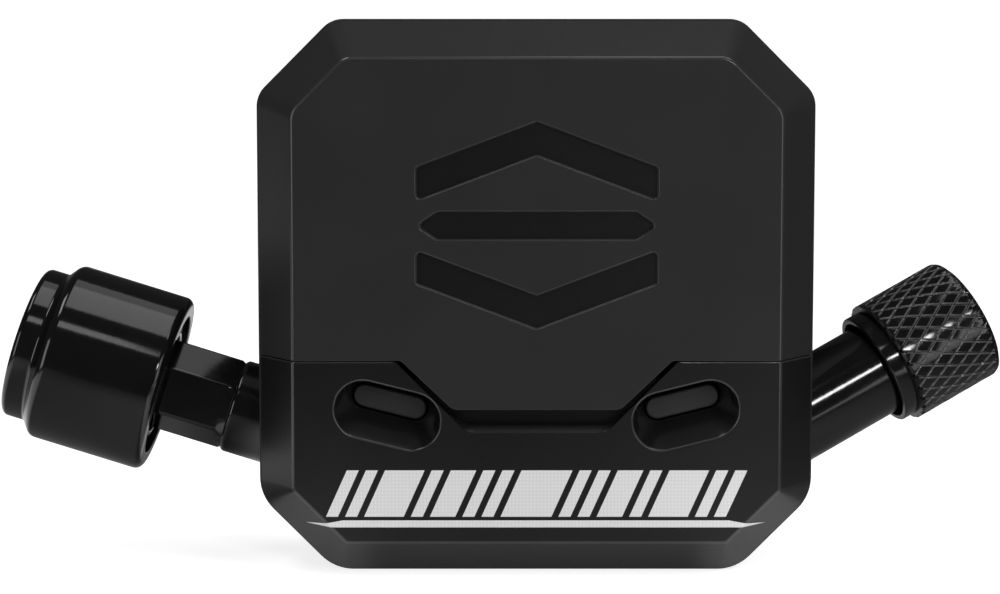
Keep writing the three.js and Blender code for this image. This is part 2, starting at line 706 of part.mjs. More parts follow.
// A spigot's profile from its end to where it meets the thicker part, with the o-ring's groove.
function spigotProfile(end, shoulder) {
  const grooveLow = end + O_RING_GROOVE.start;
  const grooveHigh = grooveLow + O_RING_GROOVE.width;
  return [
    [SPIGOT_RADIUS, end],
    [SPIGOT_RADIUS, grooveLow],
    [O_RING_GROOVE.radius, grooveLow],
    [O_RING_GROOVE.radius, grooveHigh],
    [SPIGOT_RADIUS, grooveHigh],
    [SPIGOT_RADIUS, shoulder],
  ];
}

function spigotRing(name, end) {
  const height = end + O_RING_GROOVE.start + O_RING_GROOVE.width / 2;
  return piece(name, ringSeal(O_RING.major, O_RING.minor, height), BLACK_RUBBER);
}

function hexPrism(acrossFlats, low, high) {
  const tip = acrossFlats / Math.sqrt(3);
  const corners = [];
  for (let corner = 0; corner < 6; corner += 1) {
    const angle = (corner * Math.PI) / 3;
    corners.push([tip * Math.cos(angle), tip * Math.sin(angle)]);
  }
  const geometry = new THREE.ExtrudeGeometry(shapeOf(corners), {
    depth: high - low,
    bevelEnabled: false,
  });
  geometry.translate(0, 0, low);
  return solid(geometry);
}

function couplingBarrel() {
  const { spigotEnd, flangeEnd, hexStart, headStart, headEnd } = COUPLING;
  const edge = 0.2;
  const innerPart = turned([
    [0, spigotEnd],
    ...spigotProfile(spigotEnd, flangeEnd),
    [PORT_TUBE_RADIUS, flangeEnd],
    [PORT_TUBE_RADIUS, hexStart - edge],
    [PORT_TUBE_RADIUS - edge, hexStart],
    [0, hexStart],
  ]);
  const hexagon = hexPrism(HEX_ACROSS_FLATS, hexStart - HEX_SINK, headStart + HEX_SINK);
  const seatFloor = headEnd - BARREL_HEAD.seatDepth;
  const head = turned([
    [0, headStart],
    [BARREL_HEAD.radius, headStart],
    [BARREL_HEAD.radius, headEnd - BARREL_HEAD.edge],
    [BARREL_HEAD.radius - BARREL_HEAD.edge, headEnd],
    [BARREL_HEAD.seatRadius, headEnd],
    [BARREL_HEAD.seatRadius, seatFloor],
    [0, seatFloor],
  ]);
  const bore = turned(rodProfile(BARREL_BORE_RADIUS, spigotEnd - OVERSHOOT, headEnd), SMALL);
  const made = innerPart.add(hexagon).add(head).subtract(bore);
  return piece("coupling_barrel", made, BLACK_ANODISED);
}

// A pierced disc in the barrel's head, with a pin that opens the valve that the collar is screwed onto.
function coreDepressor() {
  const { radius, thickness, pinRadius, pinLength } = DEPRESSOR;
  const discHigh = COUPLING.headEnd - 0.1;
  const discLow = discHigh - thickness;
  const pinLow = discLow + 0.2;
  let made = turned(rodProfile(radius, discLow, discHigh), SMALL);
  for (let hole = 0; hole < DEPRESSOR_HOLE.count; hole += 1) {
    const angle = (hole * 2 * Math.PI) / DEPRESSOR_HOLE.count;
    const profile = rodProfile(DEPRESSOR_HOLE.radius, discLow - OVERSHOOT, discHigh + OVERSHOOT);
    const geometry = turnedGeometry(profile, 6);
    geometry.rotateX(Math.PI / 2);
    geometry.translate(DEPRESSOR_HOLE.offset * Math.cos(angle), DEPRESSOR_HOLE.offset * Math.sin(angle), 0);
    made = made.subtract(solid(geometry));
  }
  made = made.add(turned(rodProfile(pinRadius, pinLow, COUPLING.headEnd + pinLength), SMALL));
  return piece("core_depressor", made, STEEL);
}

function couplingGasket() {
  const low = COUPLING.headEnd + 0.1;
  const profile = tubeProfile(GASKET.inner, GASKET.outer, low, low + GASKET.thickness);
  return piece("coupling_gasket", turned(profile), BLACK_RUBBER);
}

function couplingCollar() {
  const { collarInner, mouthFloor, collarOuter } = COUPLING;
  const edge = 0.6;
  const shoulder = 1;
  const shoulderTurn = 1.12; // radians
  const shoulderStart = collarOuter - COLLAR_SHOULDER_START;
  const neckStart = collarOuter - COLLAR_NECK_START;
  const rimStart = collarOuter - COLLAR_CHAMFER;
  const cavityEnd = COUPLING.headStart - 0.25;
  const path = new THREE.Path();
  path.moveTo(COLLAR_RING_SEAT_RADIUS, collarInner);
  path.lineTo(COLLAR_RADIUS - edge, collarInner);
  path.absarc(COLLAR_RADIUS - edge, collarInner + edge, edge, -Math.PI / 2, 0);
  path.lineTo(COLLAR_RADIUS, shoulderStart);
  path.absarc(COLLAR_RADIUS - shoulder, shoulderStart, shoulder, 0, shoulderTurn);
  path.quadraticCurveTo(COLLAR_NECK_RADIUS, neckStart - shoulder / 2, COLLAR_NECK_RADIUS, neckStart);
  path.lineTo(COLLAR_NECK_RADIUS, rimStart);
  path.lineTo(COLLAR_NECK_RADIUS - COLLAR_CHAMFER, collarOuter);
  path.lineTo(COLLAR_MOUTH_RADIUS + COLLAR_CHAMFER, collarOuter);
  path.lineTo(COLLAR_MOUTH_RADIUS, rimStart);
  path.lineTo(COLLAR_MOUTH_RADIUS, mouthFloor);
  path.lineTo(COLLAR_CAVITY_RADIUS, mouthFloor);
  path.lineTo(COLLAR_CAVITY_RADIUS, cavityEnd);
  path.lineTo(COLLAR_RING_SEAT_RADIUS, cavityEnd);
  path.lineTo(COLLAR_RING_SEAT_RADIUS, collarInner);
  const profile = path.getPoints(2).map(({ x, y }) => [x, y]);
  return piece("coupling_collar", turned(profile, FINE), BLACK_ANODISED);
}

// A dished ring that stays on the round part of the barrel and holds the collar on.
function collarRetainingRing() {
  const { fit, dish, low, high } = RETAINER;
  const outer = COLLAR_RING_SEAT_RADIUS - fit;
  const lipOuter = RETAINER_BORE_RADIUS + 0.35;
  const dishInner = RETAINER_BORE_RADIUS + 0.6;
  const dishOuter = outer - 0.25;
  const profile = [
    [RETAINER_BORE_RADIUS, low],
    [lipOuter, low],
    [dishInner, low + dish],
    [dishOuter, low + dish],
    [outer, low + 0.2],
    [outer, high],
    [RETAINER_BORE_RADIUS, high],
    [RETAINER_BORE_RADIUS, low],
  ];
  return piece("collar_retaining_ring", turned(profile, FINE), BLACK_ANODISED);
}

// ---------------------------------------------------------------- fill valve, in its port's frame

function fillStem() {
  const { spigotEnd, tubeStart, chamberLow, coreSeat, threadStart, tip } = FILL;
  const chamfer = 0.3;
  const outside = turned([
    [0, spigotEnd],
    ...spigotProfile(spigotEnd, tubeStart),
    [PORT_TUBE_RADIUS, tubeStart],
    [PORT_TUBE_RADIUS, threadStart],
    [VALVE_THREAD_RADIUS, threadStart + 0.2],
    [VALVE_THREAD_RADIUS, tip - chamfer],
    [VALVE_THREAD_RADIUS - chamfer, tip],
    [0, tip],
  ]);
  const inside = turned([
    [0, spigotEnd - OVERSHOOT],
    [STEM_BORE_RADIUS, spigotEnd - OVERSHOOT],
    [STEM_BORE_RADIUS, chamberLow],
    [CHAMBER_RADIUS, chamberLow],
    [CHAMBER_RADIUS, coreSeat],
    [CORE_HOLE_RADIUS, coreSeat],
    [CORE_HOLE_RADIUS, tip + OVERSHOOT],
    [0, tip + OVERSHOOT],
  ]);
  return piece("fill_stem", outside.subtract(inside), BLACK_ANODISED);
}

function valveCoreBody() {
  const { radius, bore, springBore, springSeat, end } = CORE;
  const low = FILL.coreSeat + 0.1;
  const profile = [
    [bore, low],
    [radius, low],
    [radius, end],
    [springBore, end],
    [springBore, springSeat],
    [bore, springSeat],
    [bore, low],
  ];
  return piece("valve_core_body", turned(profile, ROUND), BRASS);
}

function valveCorePin() {
  const footTop = PIN.foot + 0.25;
  const profile = [
    [0, PIN.foot],
    [PIN.footRadius, PIN.foot],
    [PIN.footRadius, footTop],
    [PIN.radius, footTop],
    [PIN.radius, PIN.flange],
    [PIN.flangeRadius, PIN.flange],
    [PIN.flangeRadius, PIN.head],
    [PIN.tipRadius, PIN.head],
    [PIN.tipRadius, PIN.tip],
    [0, PIN.tip],
  ];
  return piece("valve_core_pin", turned(profile, SMALL), BRASS);
}

function valveCoreSeal() {
  const { inner, outer, low, high } = CORE_SEAL;
  return piece("valve_core_seal", turned(tubeProfile(inner, outer, low, high), SMALL), BLACK_RUBBER);
}

// A coil of wire about +Z.
class Coil extends THREE.Curve {
  constructor(radius, low, high, turns) {
    super();
    Object.assign(this, { radius, low, high, turns });
  }

  getPoint(t, target = new THREE.Vector3()) {
    const angle = 2 * Math.PI * this.turns * t;
    const height = THREE.MathUtils.lerp(this.low, this.high, t);
    return target.set(this.radius * Math.cos(angle), this.radius * Math.sin(angle), height);
  }
}

function valveCoreSpring() {
  const { radius, wire, low, high, turns } = SPRING;
  const section = new THREE.Shape();
  section.absarc(0, 0, wire, 0, 2 * Math.PI);
  const geometry = new THREE.ExtrudeGeometry(section, {
    extrudePath: new Coil(radius, low, high, turns),
    steps: turns * 10,
    curveSegments: 2.5,
    bevelEnabled: false,
  });
  return piece("valve_core_spring", solid(geometry), STEEL);
}

function valveCap() {
  const { skirtStart, knurlStart, capEnd } = FILL;
  const profile = [
    [0, CAP_CEILING],
    [CAP_BORE_RADIUS, CAP_CEILING],
    [CAP_BORE_RADIUS, skirtStart],
    [CAP_SKIRT_RADIUS, skirtStart],
    [CAP_SKIRT_RADIUS, knurlStart - 0.05],
    [CAP_RADIUS, knurlStart + 0.1],
    [CAP_RADIUS, capEnd - 0.5],
    [CAP_RADIUS - 0.15, capEnd - 0.15],
    [CAP_RADIUS - 0.5, capEnd],
    [0, capEnd],
  ];
  return piece("valve_cap", turned(profile, FINE), BLACK_ANODISED);
}

function capSeal() {
  const low = FILL.tip + 0.1;
  const profile = rodProfile(CAP_BORE_RADIUS - 0.25, low, low + CAP_SEAL_THICKNESS);
  return piece("cap_seal", turned(profile, ROUND), BLACK_RUBBER);
}

// ---------------------------------------------------------------- assembly

const couplingPort = new THREE.Group();
couplingPort.applyMatrix4(couplingFrame);
couplingPort.add(
  couplingBarrel(),
  spigotRing("barrel_o_ring", COUPLING.spigotEnd),
  coreDepressor(),
  couplingGasket(),
  couplingCollar(),
  collarRetainingRing(),
);

const fillPort = new THREE.Group();
fillPort.applyMatrix4(fillFrame);
fillPort.add(
  fillStem(),
  spigotRing("stem_o_ring", FILL.spigotEnd),
  valveCoreBody(),
  valveCorePin(),
  valveCoreSeal(),
  valveCoreSpring(),
  valveCap(),
  capSeal(),
);

const device = new THREE.Group();
device.add(
  rearHousing(),
  rimGasket(),
  frontBezel(),
  batteryCover(),
  lightWindow("light_window_left", -1),
  lightWindow("light_window_right", 1),
  batteryTray(),
  coinCell(),
  batteryContactPositive(),
  batteryContactNegative(),
  circuitBoard(),
  boardComponent("processor_chip", PROCESSOR, CHIP_BLACK),
  boardComponent("radio_antenna", ANTENNA, LED_WHITE),
  boardComponent("motion_sensor", MOTION_SENSOR, CHIP_BLACK),
  statusLed("status_led_left", -1),
  statusLed("status_led_right", 1),
  pressureSensor(),
  sensorRing(),
  airManifold(),
  boardScrew("board_screw_left", -1),
  boardScrew("board_screw_right", 1),
  rearScrew("rear_screw_upper_left", -1, REAR_SCREW_UPPER_Z, REAR_SCREW_UPPER_TIP_Y),
  rearScrew("rear_screw_upper_right", 1, REAR_SCREW_UPPER_Z, REAR_SCREW_UPPER_TIP_Y),
  rearScrew("rear_screw_lower_left", -1, REAR_SCREW_LOWER_Z, REAR_SCREW_LOWER_TIP_Y),
  rearScrew("rear_screw_lower_right", 1, REAR_SCREW_LOWER_Z, REAR_SCREW_LOWER_TIP_Y),
  couplingPort,
  fillPort,
);

export default device;
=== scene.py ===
"""The visible model of an air-spring tuning sensor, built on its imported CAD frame.

Shapes are made in millimetres in the part's frame and turned into metres when a piece is finished.
+Z is up, +X is to the right of the face with the two windows, and +Y is towards the back.
"""
import json
import math

import bmesh
import bpy
from mathutils import Matrix, Vector


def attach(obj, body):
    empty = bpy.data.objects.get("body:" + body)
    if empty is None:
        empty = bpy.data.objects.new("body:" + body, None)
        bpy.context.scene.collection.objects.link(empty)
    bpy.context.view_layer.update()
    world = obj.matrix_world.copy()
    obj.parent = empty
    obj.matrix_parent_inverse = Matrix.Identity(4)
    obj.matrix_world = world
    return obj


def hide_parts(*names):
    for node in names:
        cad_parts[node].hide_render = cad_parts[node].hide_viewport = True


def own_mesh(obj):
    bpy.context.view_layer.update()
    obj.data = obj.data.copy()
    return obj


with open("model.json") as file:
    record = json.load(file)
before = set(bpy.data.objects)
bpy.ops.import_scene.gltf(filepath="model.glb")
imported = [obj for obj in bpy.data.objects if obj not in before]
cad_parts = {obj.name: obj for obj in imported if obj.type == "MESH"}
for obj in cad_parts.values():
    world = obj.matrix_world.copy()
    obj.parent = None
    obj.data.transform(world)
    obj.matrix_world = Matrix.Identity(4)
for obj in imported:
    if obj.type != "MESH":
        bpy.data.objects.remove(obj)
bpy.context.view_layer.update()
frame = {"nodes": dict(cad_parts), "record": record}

MM = 0.001

# ---- sizes, in millimetres

HALF_WIDTH = 20
HEIGHT = 39.8
FRONT_Y = -8.75
REAR_Y = 8.75
CORNER_LEG = 5.4
BEVEL_WIDTH = 2.8
BEVEL_DEPTH = 4.2
SPLIT_Y = FRONT_Y + BEVEL_DEPTH
REAR_BEVEL = 1.8
TUB_WALL = 1.6
FACE_BACK_Y = FRONT_Y + 1.3
HALF_FIT_GAP = 0.1

SEAM_Z = 15.73
SEAM_GAP = 0.06
NOTCH_Z = 10.67
NOTCH_LIP = 0.46
NOTCH_HALF_TOP = 10.0
TONGUE_Z = 12.3
TONGUE_HALF_TOP = 9.57
TONGUE_HALF_FOOT = 5.9
SILL_FRONT_Y = FACE_BACK_Y + 0.3

RECESS_TILT = math.radians(14)
RECESS_RIM = {"x": 10.55, "z": 11.88, "radius": 2.07, "half": 1.76}
RECESS_FLOOR = {"x": 10.43, "z": 12.59, "radius": 0.94, "half": 1.84}
RECESS_FLOOR_Y = FRONT_Y + 2.2

SCREW_X = 9.5
UPPER_SCREW_Z = 34.6
LOWER_SCREW_Z = 10.2
SCREWS = [(side * SCREW_X, z) for side in (-1, 1) for z in (UPPER_SCREW_Z, LOWER_SCREW_Z)]
BOARD_FRONT_Y = -2.5
BOARD_BACK_Y = -1.7
BOARD_SCREW_X = 12.6
BOARD_SCREW_Z = 18
CELL_Z = 24.8
SENSOR_Z = 8
RAIL_LOW_Z = 17.5
RAIL_HIGH_Z = 33
# Well outside the housing on every side, for shapes that only cut.
BEYOND = 30
# Edges that turn by more than this are rounded on the inner pieces.
STEEP = math.radians(50)

PORT_TUBE_RADIUS = 3.5
VALVE_PITCH = 25.4 / 32
CAP_RADIUS = 4.75
CAP_LOW = 6.68
CAP_HIGH = 13.7
SKIRT_LOW = 5.5
# A groove's foot and rim are at these shares of a diamond's width from its line.
KNURL_STARTS = 28
GROOVE_FOOT = 0.03
GROOVE_RIM = 0.13
GROOVE_DEPTH = 0.13
CROWN = 0.02


# ---- port frames

def port_frame(reference, outward):
    """A frame whose +Z is the port's outward axis and whose X lies in the plane of the rise."""
    side = Vector((0, 1, 0)).cross(outward).normalized()
    back = outward.cross(side)
    turn = Matrix((side, back, outward)).transposed()
    return Matrix.Translation(reference) @ turn.to_4x4()


COUPLING_RISE = math.radians(17.36)
FILL_RISE = math.radians(27.7)
FILL_LEAN_BACK = math.radians(12)
coupling_axis = Vector((-math.cos(COUPLING_RISE), 0, math.sin(COUPLING_RISE)))
fill_axis = Vector((
    math.cos(FILL_RISE) * math.cos(FILL_LEAN_BACK),
    math.cos(FILL_RISE) * math.sin(FILL_LEAN_BACK),
    math.sin(FILL_RISE),
))
COUPLING = port_frame(Vector((-20.6, 1.6, 10.62)), coupling_axis)
FILL = port_frame(Vector((20.63, 1, 11.26)), fill_axis)


# ---- materials

def put(node, **values):
    """Sets a node's inputs by name, with underscores for spaces."""
    for key, value in values.items():
        node.inputs[key.replace("_", " ")].default_value = value


class Nodes:
    """A material's node tree, with short calls for the nodes that these materials share."""

    def __init__(self, name):
        self.material = bpy.data.materials.new(name)
        self.material.use_nodes = True
        self.tree = self.material.node_tree
        self.shader = self.tree.nodes["Principled BSDF"]
        self.place = self.add("ShaderNodeTexCoord").outputs["Object"]

    def add(self, kind, **settings):
        node = self.tree.nodes.new(kind)
        for key, value in settings.items():
            setattr(node, key, value)
        return node

    def link(self, output, target):
        self.tree.links.new(output, target)

    def noise(self, size, detail=3.0, roughness=0.55):
        """Noise whose features are about size millimetres across."""
        node = self.add("ShaderNodeTexNoise")
        put(node, Scale=1 / (size * MM), Detail=detail, Roughness=roughness)
        self.link(self.place, node.inputs["Vector"])
        return node.outputs["Fac"]

    def spread(self, factor, low, high, start=0.3, end=0.7):
        """A number that goes from low to high as the factor goes from start to end."""
        node = self.add("ShaderNodeMapRange")
        put(node, From_Min=start, From_Max=end, To_Min=low, To_Max=high)
        self.link(factor, node.inputs["Value"])
        return node.outputs["Result"]

    def mix(self, factor, first, second):
        """A colour between two, each given as three numbers or as another node's output."""
        node = self.add("ShaderNodeMix", data_type="RGBA")
        self.link(factor, node.inputs["Factor"])
        for value, target in ((first, node.inputs[6]), (second, node.inputs[7])):
            if isinstance(value, tuple):
                target.default_value = (*value, 1)
            else:
                self.link(value, target)
        return node.outputs[2]

    def combine(self, operation, first, second):
        """A math operation on two values, each given as a number or as another node's output."""
        node = self.add("ShaderNodeMath", operation=operation)
        for value, target in zip((first, second), node.inputs):
            if isinstance(value, float):
                target.default_value = value
            else:
                self.link(value, target)
        return node.outputs["Value"]

    def bump(self, height, depth):
        """A bump whose full depth is given in millimetres."""
        node = self.add("ShaderNodeBump")
        put(node, Distance=depth * MM)
        self.link(height, node.inputs["Height"])
        return node.outputs["Normal"]

    def finish(self, color, roughness, normal=None, **fixed):
        """The material with these outputs, and with fixed values on other sockets of its shader."""
        self.link(color, self.shader.inputs["Base Color"])
        self.link(roughness, self.shader.inputs["Roughness"])
        if normal:
            self.link(normal, self.shader.inputs["Normal"])
        put(self.shader, **fixed)
        return self.material


def moulded_plastic(name, dark, light, rough_low, rough_high, grain, depth, shine):
    """Spark-eroded moulded plastic: fine grain, and a slow drift in tone and gloss."""
    n = Nodes(name)
    drift = n.noise(9, detail=2)
    fine = n.noise(grain, detail=4, roughness=0.65)
    color = n.mix(n.spread(drift, 0, 1), dark, light)
    roughness = n.spread(fine, rough_low, rough_high)
    return n.finish(color, roughness, n.bump(fine, depth), Specular_IOR_Level=shine)


def gloss_black():
    """Black anodised turned aluminium under a clear, nearly mirror-like surface."""
    n = Nodes("black_anodised")
    fine = n.noise(0.3)
    tone = n.spread(n.noise(3, detail=2), 0, 1)
    color = n.mix(tone, (0.004, 0.004, 0.0045), (0.006, 0.006, 0.0065))
    return n.finish(color, n.spread(fine, 0.08, 0.13), n.bump(fine, 0.0012), Specular_IOR_Level=0.75)


def bright_metal(name, dark, light, rough_low, rough_high):
    """Machined or plated metal with fine tool marks."""
    n = Nodes(name)
    marks = n.noise(0.25)
    color = n.mix(n.spread(n.noise(4, detail=2), 0, 1), dark, light)
    return n.finish(color, n.spread(marks, rough_low, rough_high), n.bump(marks, 0.0006), Metallic=1.0)


def board_laminate():
    """Green solder mask with copper tracks showing faintly through it."""
    n = Nodes("board_laminate")
    cells = n.add("ShaderNodeTexBrick", offset=0.35)
    put(cells, Scale=1 / (1.6 * MM), Mortar_Size=0.09, Mortar=(0.035, 0.13, 0.06, 1))
    put(cells, Color1=(0.010, 0.055, 0.026, 1), Color2=(0.013, 0.066, 0.031, 1))
    turn = n.add("ShaderNodeMapping")
    put(turn, Rotation=(math.pi / 2, 0, 0))
    n.link(n.place, turn.inputs["Vector"])
    n.link(turn.outputs["Vector"], cells.inputs["Vector"])
    fine = n.noise(0.4)
    color = n.mix(n.spread(fine, 0, 0.35), cells.outputs["Color"], (0.02, 0.10, 0.045))
    return n.finish(color, n.spread(fine, 0.28, 0.4), n.bump(cells.outputs["Fac"], 0.02))


def white_ink():
    """Screen-printed ink with the fine weave of the screen left in it."""
    n = Nodes("white_print")
    heights = []
    for direction in ("X", "Z"):
        wave = n.add("ShaderNodeTexWave", bands_direction=direction)
        put(wave, Scale=math.pi / 10 / (0.25 * MM))
        n.link(n.place, wave.inputs["Vector"])
        heights.append(wave.outputs["Fac"])
    weave = n.combine("MULTIPLY", *heights)
    color = n.mix(n.spread(weave, 0, 1, 0, 0.8), (0.88, 0.88, 0.88), (0.98, 0.98, 0.98))
    return n.finish(color, n.spread(weave, 0.55, 0.42, 0, 1), n.bump(weave, 0.004))


# Each row: name, dark tone, light tone, roughness from and to, grain and its depth in mm, shine.
PLASTICS = [
    ("housing_plastic", (0.025, 0.025, 0.0255), (0.0295, 0.0295, 0.03), 0.38, 0.50, 0.22, 0.004, 0.2),
    # The bezel's finish is the housing plastic painted darker: painted shade on the lower front, a shaded
    # copy of the same plastic, a little glossier.
    ("bezel_painted_shade", (0.0085, 0.0085, 0.0088), (0.011, 0.011, 0.0113), 0.27, 0.35, 0.22, 0.004, 0.3),
    # The edge finish is a painted highlight: its lighter tone stands in for the thin lines of light that the
    # rounded edges catch, and it is a little glossier.
    ("painted_edge_highlight", (0.03, 0.03, 0.031), (0.04, 0.04, 0.041), 0.18, 0.25, 0.22, 0.001, 0.7),
    # The knurl's groove finish is a painted highlight: its much lighter tone stands in for the bright lines
    # of light along the groove walls.
    ("painted_groove_highlight", (0.085, 0.085, 0.087), (0.12, 0.12, 0.122), 0.16, 0.24, 0.2, 0.001, 0.9),
    ("engraved_floor", (0.007, 0.007, 0.0072), (0.009, 0.009, 0.0092), 0.30, 0.38, 0.22, 0.004, 0.35),
    ("recess_wall", (0.008, 0.008, 0.0083), (0.0105, 0.0105, 0.0109), 0.1, 0.15, 0.2, 0.0008, 0.95),
    ("smoked_window", (0.038, 0.038, 0.039), (0.048, 0.048, 0.049), 0.34, 0.46, 0.15, 0.003, 0.3),
    ("inner_plastic", (0.024, 0.025, 0.027), (0.032, 0.033, 0.035), 0.5, 0.62, 0.22, 0.004, 0.3),
    ("black_rubber", (0.01, 0.01, 0.01), (0.016, 0.016, 0.016), 0.7, 0.85, 0.3, 0.008, 0.3),
    ("chip_resin", (0.012, 0.012, 0.013), (0.018, 0.018, 0.019), 0.48, 0.6, 0.12, 0.003, 0.3),
    ("white_ceramic", (0.70, 0.69, 0.63), (0.80, 0.79, 0.73), 0.3, 0.42, 0.3, 0.002, 0.3),
]
# Each row: name, dark tone, light tone, roughness from and to.
METALS = [
    ("bare_aluminium", (0.66, 0.67, 0.69), (0.76, 0.77, 0.79), 0.28, 0.42),
    ("brass", (0.55, 0.38, 0.15), (0.66, 0.48, 0.21), 0.2, 0.34),
    ("steel", (0.52, 0.52, 0.53), (0.64, 0.64, 0.65), 0.2, 0.32),
]
MATERIALS = {row[0]: moulded_plastic(*row) for row in PLASTICS}
MATERIALS.update({row[0]: bright_metal(*row) for row in METALS})
MATERIALS["black_anodised"] = gloss_black()
MATERIALS["board_laminate"] = board_laminate()
MATERIALS["white_print"] = white_ink()


# ---- paths and surfaces

def rounded(corners, closed=False, per_arc=6):
    """The path through corners (a, b, radius), with an arc of that radius at each one."""
    path = []
    last = len(corners) - 1
    for index, (a, b, *fillet) in enumerate(corners):
        here = Vector((a, b))
        radius = fillet[0] if fillet else 0
        if not radius or (not closed and index in (0, last)):
            path.append(here)
            continue
        before = (Vector(corners[index - 1][:2]) - here).normalized()
        after = (Vector(corners[(index + 1) % len(corners)][:2]) - here).normalized()
        half = before.angle(after) / 2
        centre = here + (before + after).normalized() * radius / math.sin(half)
        first = here + before * radius / math.tan(half) - centre
        final = here + after * radius / math.tan(half) - centre
        sweep = math.pi - 2 * half
        for step in range(per_arc + 1):
            t = step / per_arc
            arm = first * math.sin((1 - t) * sweep) + final * math.sin(t * sweep)
            path.append(centre + arm / math.sin(sweep))
    return path


def skin(bm, rings, wrap=False):
    """Quads between rings of corners, with a flat face over each open end."""
    loops = [[bm.verts.new(corner) for corner in corners] for corners in rings]
    count = len(loops[0])
    pairs = list(zip(loops, loops[1:]))
    if wrap:
        pairs.append((loops[-1], loops[0]))
    for low, high in pairs:
        for k in range(count):
            following = (k + 1) % count
            bm.faces.new((low[k], low[following], high[following], high[k]))
    if not wrap:
        bm.faces.new(loops[0])
        bm.faces.new(list(reversed(loops[-1])))


def add_object(name, data):
    """A new object that is linked into the scene."""
    obj = bpy.data.objects.new(name, data)
    bpy.context.collection.objects.link(obj)
    return obj


def new_mesh(name, bm):
    """The smooth mesh of shapes in millimetres, which are used up."""
    bmesh.ops.scale(bm, vec=(MM, MM, MM), verts=bm.verts)
    mesh = bpy.data.meshes.new(name)
    bm.to_mesh(mesh)
    bm.free()
    mesh.shade_smooth()
    return mesh


def polar(radius, angle, height):
    """The point at an angle about Z."""
    return Vector((radius * math.cos(angle), radius * math.sin(angle), height))


def rod(radius, low, high):
    """The path of a plain cylinder, for the lathe."""
    return [(0, low), (radius, low), (radius, high), (0, high)]


def lathe(bm, path, place=Matrix(), steps=128, shape=None):
    """A path of (radius, height) turned about place's Z. It starts and ends on the axis, or is a loop."""
    looped = (Vector(path[0]) - Vector(path[-1])).length < 1e-6
    points = path[:-1] if looped else path
    rings = []
    for radius, height in points:
        radius = max(radius, 0.004)
        corners = []
        for k in range(steps):
            angle = 2 * math.pi * k / steps
            reach = shape(radius, height, angle) if shape else radius
            corners.append(place @ polar(reach, angle, height))
        rings.append(corners)
    skin(bm, rings, wrap=looped)


def along_y(x, z):
    """A frame at (x, z) whose Z points back along +Y."""
    return Matrix.Translation((x, 0, z)) @ Matrix.Rotation(-math.pi / 2, 4, "X")


def prism(bm, path, y_front, y_back):
    """A prism along Y over a closed path in (x, z)."""
    skin(bm, [[(x, y, z) for x, z in path] for y in (y_front, y_back)])


def new_prism(path, y_front, y_back):
    """A new mesh that holds one prism."""
    made = bmesh.new()
    prism(made, path, y_front, y_back)
    return made


def rectangle(x_start, z_low, x_end, z_high):
    """A closed path in (x, z), for a prism."""
    return [(x_start, z_low), (x_end, z_low), (x_end, z_high), (x_start, z_high)]


def block(bm, low, high, edge=0.1):
    """A box between two corners, with its edges rounded off."""
    made = bmesh.ops.create_cube(bm, size=1)
    size = [b - a for a, b in zip(low, high)]
    middle = [(a + b) / 2 for a, b in zip(low, high)]
    bmesh.ops.scale(bm, vec=size, verts=made["verts"])
    bmesh.ops.translate(bm, vec=middle, verts=made["verts"])
    edges = list({e for v in made["verts"] for e in v.link_edges})
    bmesh.ops.bevel(
        bm, geom=edges, offset=edge, segments=3, profile=0.5, affect="EDGES", clamp_overlap=True
    )


def boolean(first, second, operation):
    """The exact boolean of two closed meshes, which are used up."""
    objects = []
    for bm in (first, second):
        bmesh.ops.recalc_face_normals(bm, faces=bm.faces)
        mesh = bpy.data.meshes.new("operand")
        bm.to_mesh(mesh)
        bm.free()
        objects.append(add_object("operand", mesh))
    modifier = objects[0].modifiers.new("cut", "BOOLEAN")
    modifier.object = objects[1]
    modifier.operation = operation
    modifier.solver = "EXACT"
    made = bmesh.new()
    made.from_object(objects[0], bpy.context.evaluated_depsgraph_get())
    for obj in objects:
        mesh = obj.data
        bpy.data.objects.remove(obj)
        bpy.data.meshes.remove(mesh)
    bmesh.ops.remove_doubles(made, verts=made.verts, dist=1e-4)
    return made


def cut(bm, tool):
    return boolean(bm, tool, "DIFFERENCE")


def join(bm, other):
    return boolean(bm, other, "UNION")


def soften(bm, offset, keep=lambda edge: True, least=math.radians(28), clamp=True):
    """Rounds the edges that turn by more than least and that keep picks."""
    bmesh.ops.recalc_face_normals(bm, faces=bm.faces)
    edges = [
        e for e in bm.edges
        if len(e.link_faces) == 2 and e.calc_face_angle() > least and keep(e)
    ]
    bmesh.ops.bevel(
        bm, geom=edges, offset=offset, segments=3, profile=0.5, affect="EDGES", clamp_overlap=clamp
    )


def piece(name, bm, body, slot, *replaced, sharp=35, finish=None, extra=()):
    """A finished mesh as a piece that rides on a CAD body and stands for the named nodes.

    extra is a list of (finish, choose): faces that choose picks get that finish instead.
    """
    bmesh.ops.remove_doubles(bm, verts=bm.verts, dist=1e-5)
    bmesh.ops.recalc_face_normals(bm, faces=bm.faces)
    for index, (_, choose) in enumerate(extra):
        for face in bm.faces:
            if choose(face):
                face.material_index = index + 1
    mesh = new_mesh(name, bm)
    mesh.set_sharp_from_angle(angle=math.radians(sharp))
    for each in (finish or slot, *(other for other, _ in extra)):
        mesh.materials.append(MATERIALS[each])
    obj = add_object(name, mesh)
    weighted = obj.modifiers.new("even_shading", "WEIGHTED_NORMAL")
    weighted.keep_sharp = True
    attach(obj, body)
    if replaced:
        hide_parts(*replaced)
    return obj


def ring(path, per_arc=6):
    """A rounded loop of (radius, height, fillet) corners, closed for the lathe."""
    loop = rounded(path, closed=True, per_arc=per_arc)
    return loop + [loop[0]]


def turned_piece(name, node, body, slot, place, path, steps=64, shape=None):
    """A piece that is one turned surface. A path that leaves the axis and returns to it is solid."""
    made = bmesh.new()
    lathe(made, path, place, steps, shape)
    piece(name, made, body, slot, node)


def cut_holes(made, holes):
    """Drills round holes along Y, each given as (x, z, radius, y_low, y_high)."""
    tools = bmesh.new()
    for x, z, radius, low, high in holes:
        lathe(tools, rod(radius, low, high), along_y(x, z), 48)
    return cut(made, tools)


# ---- housing form

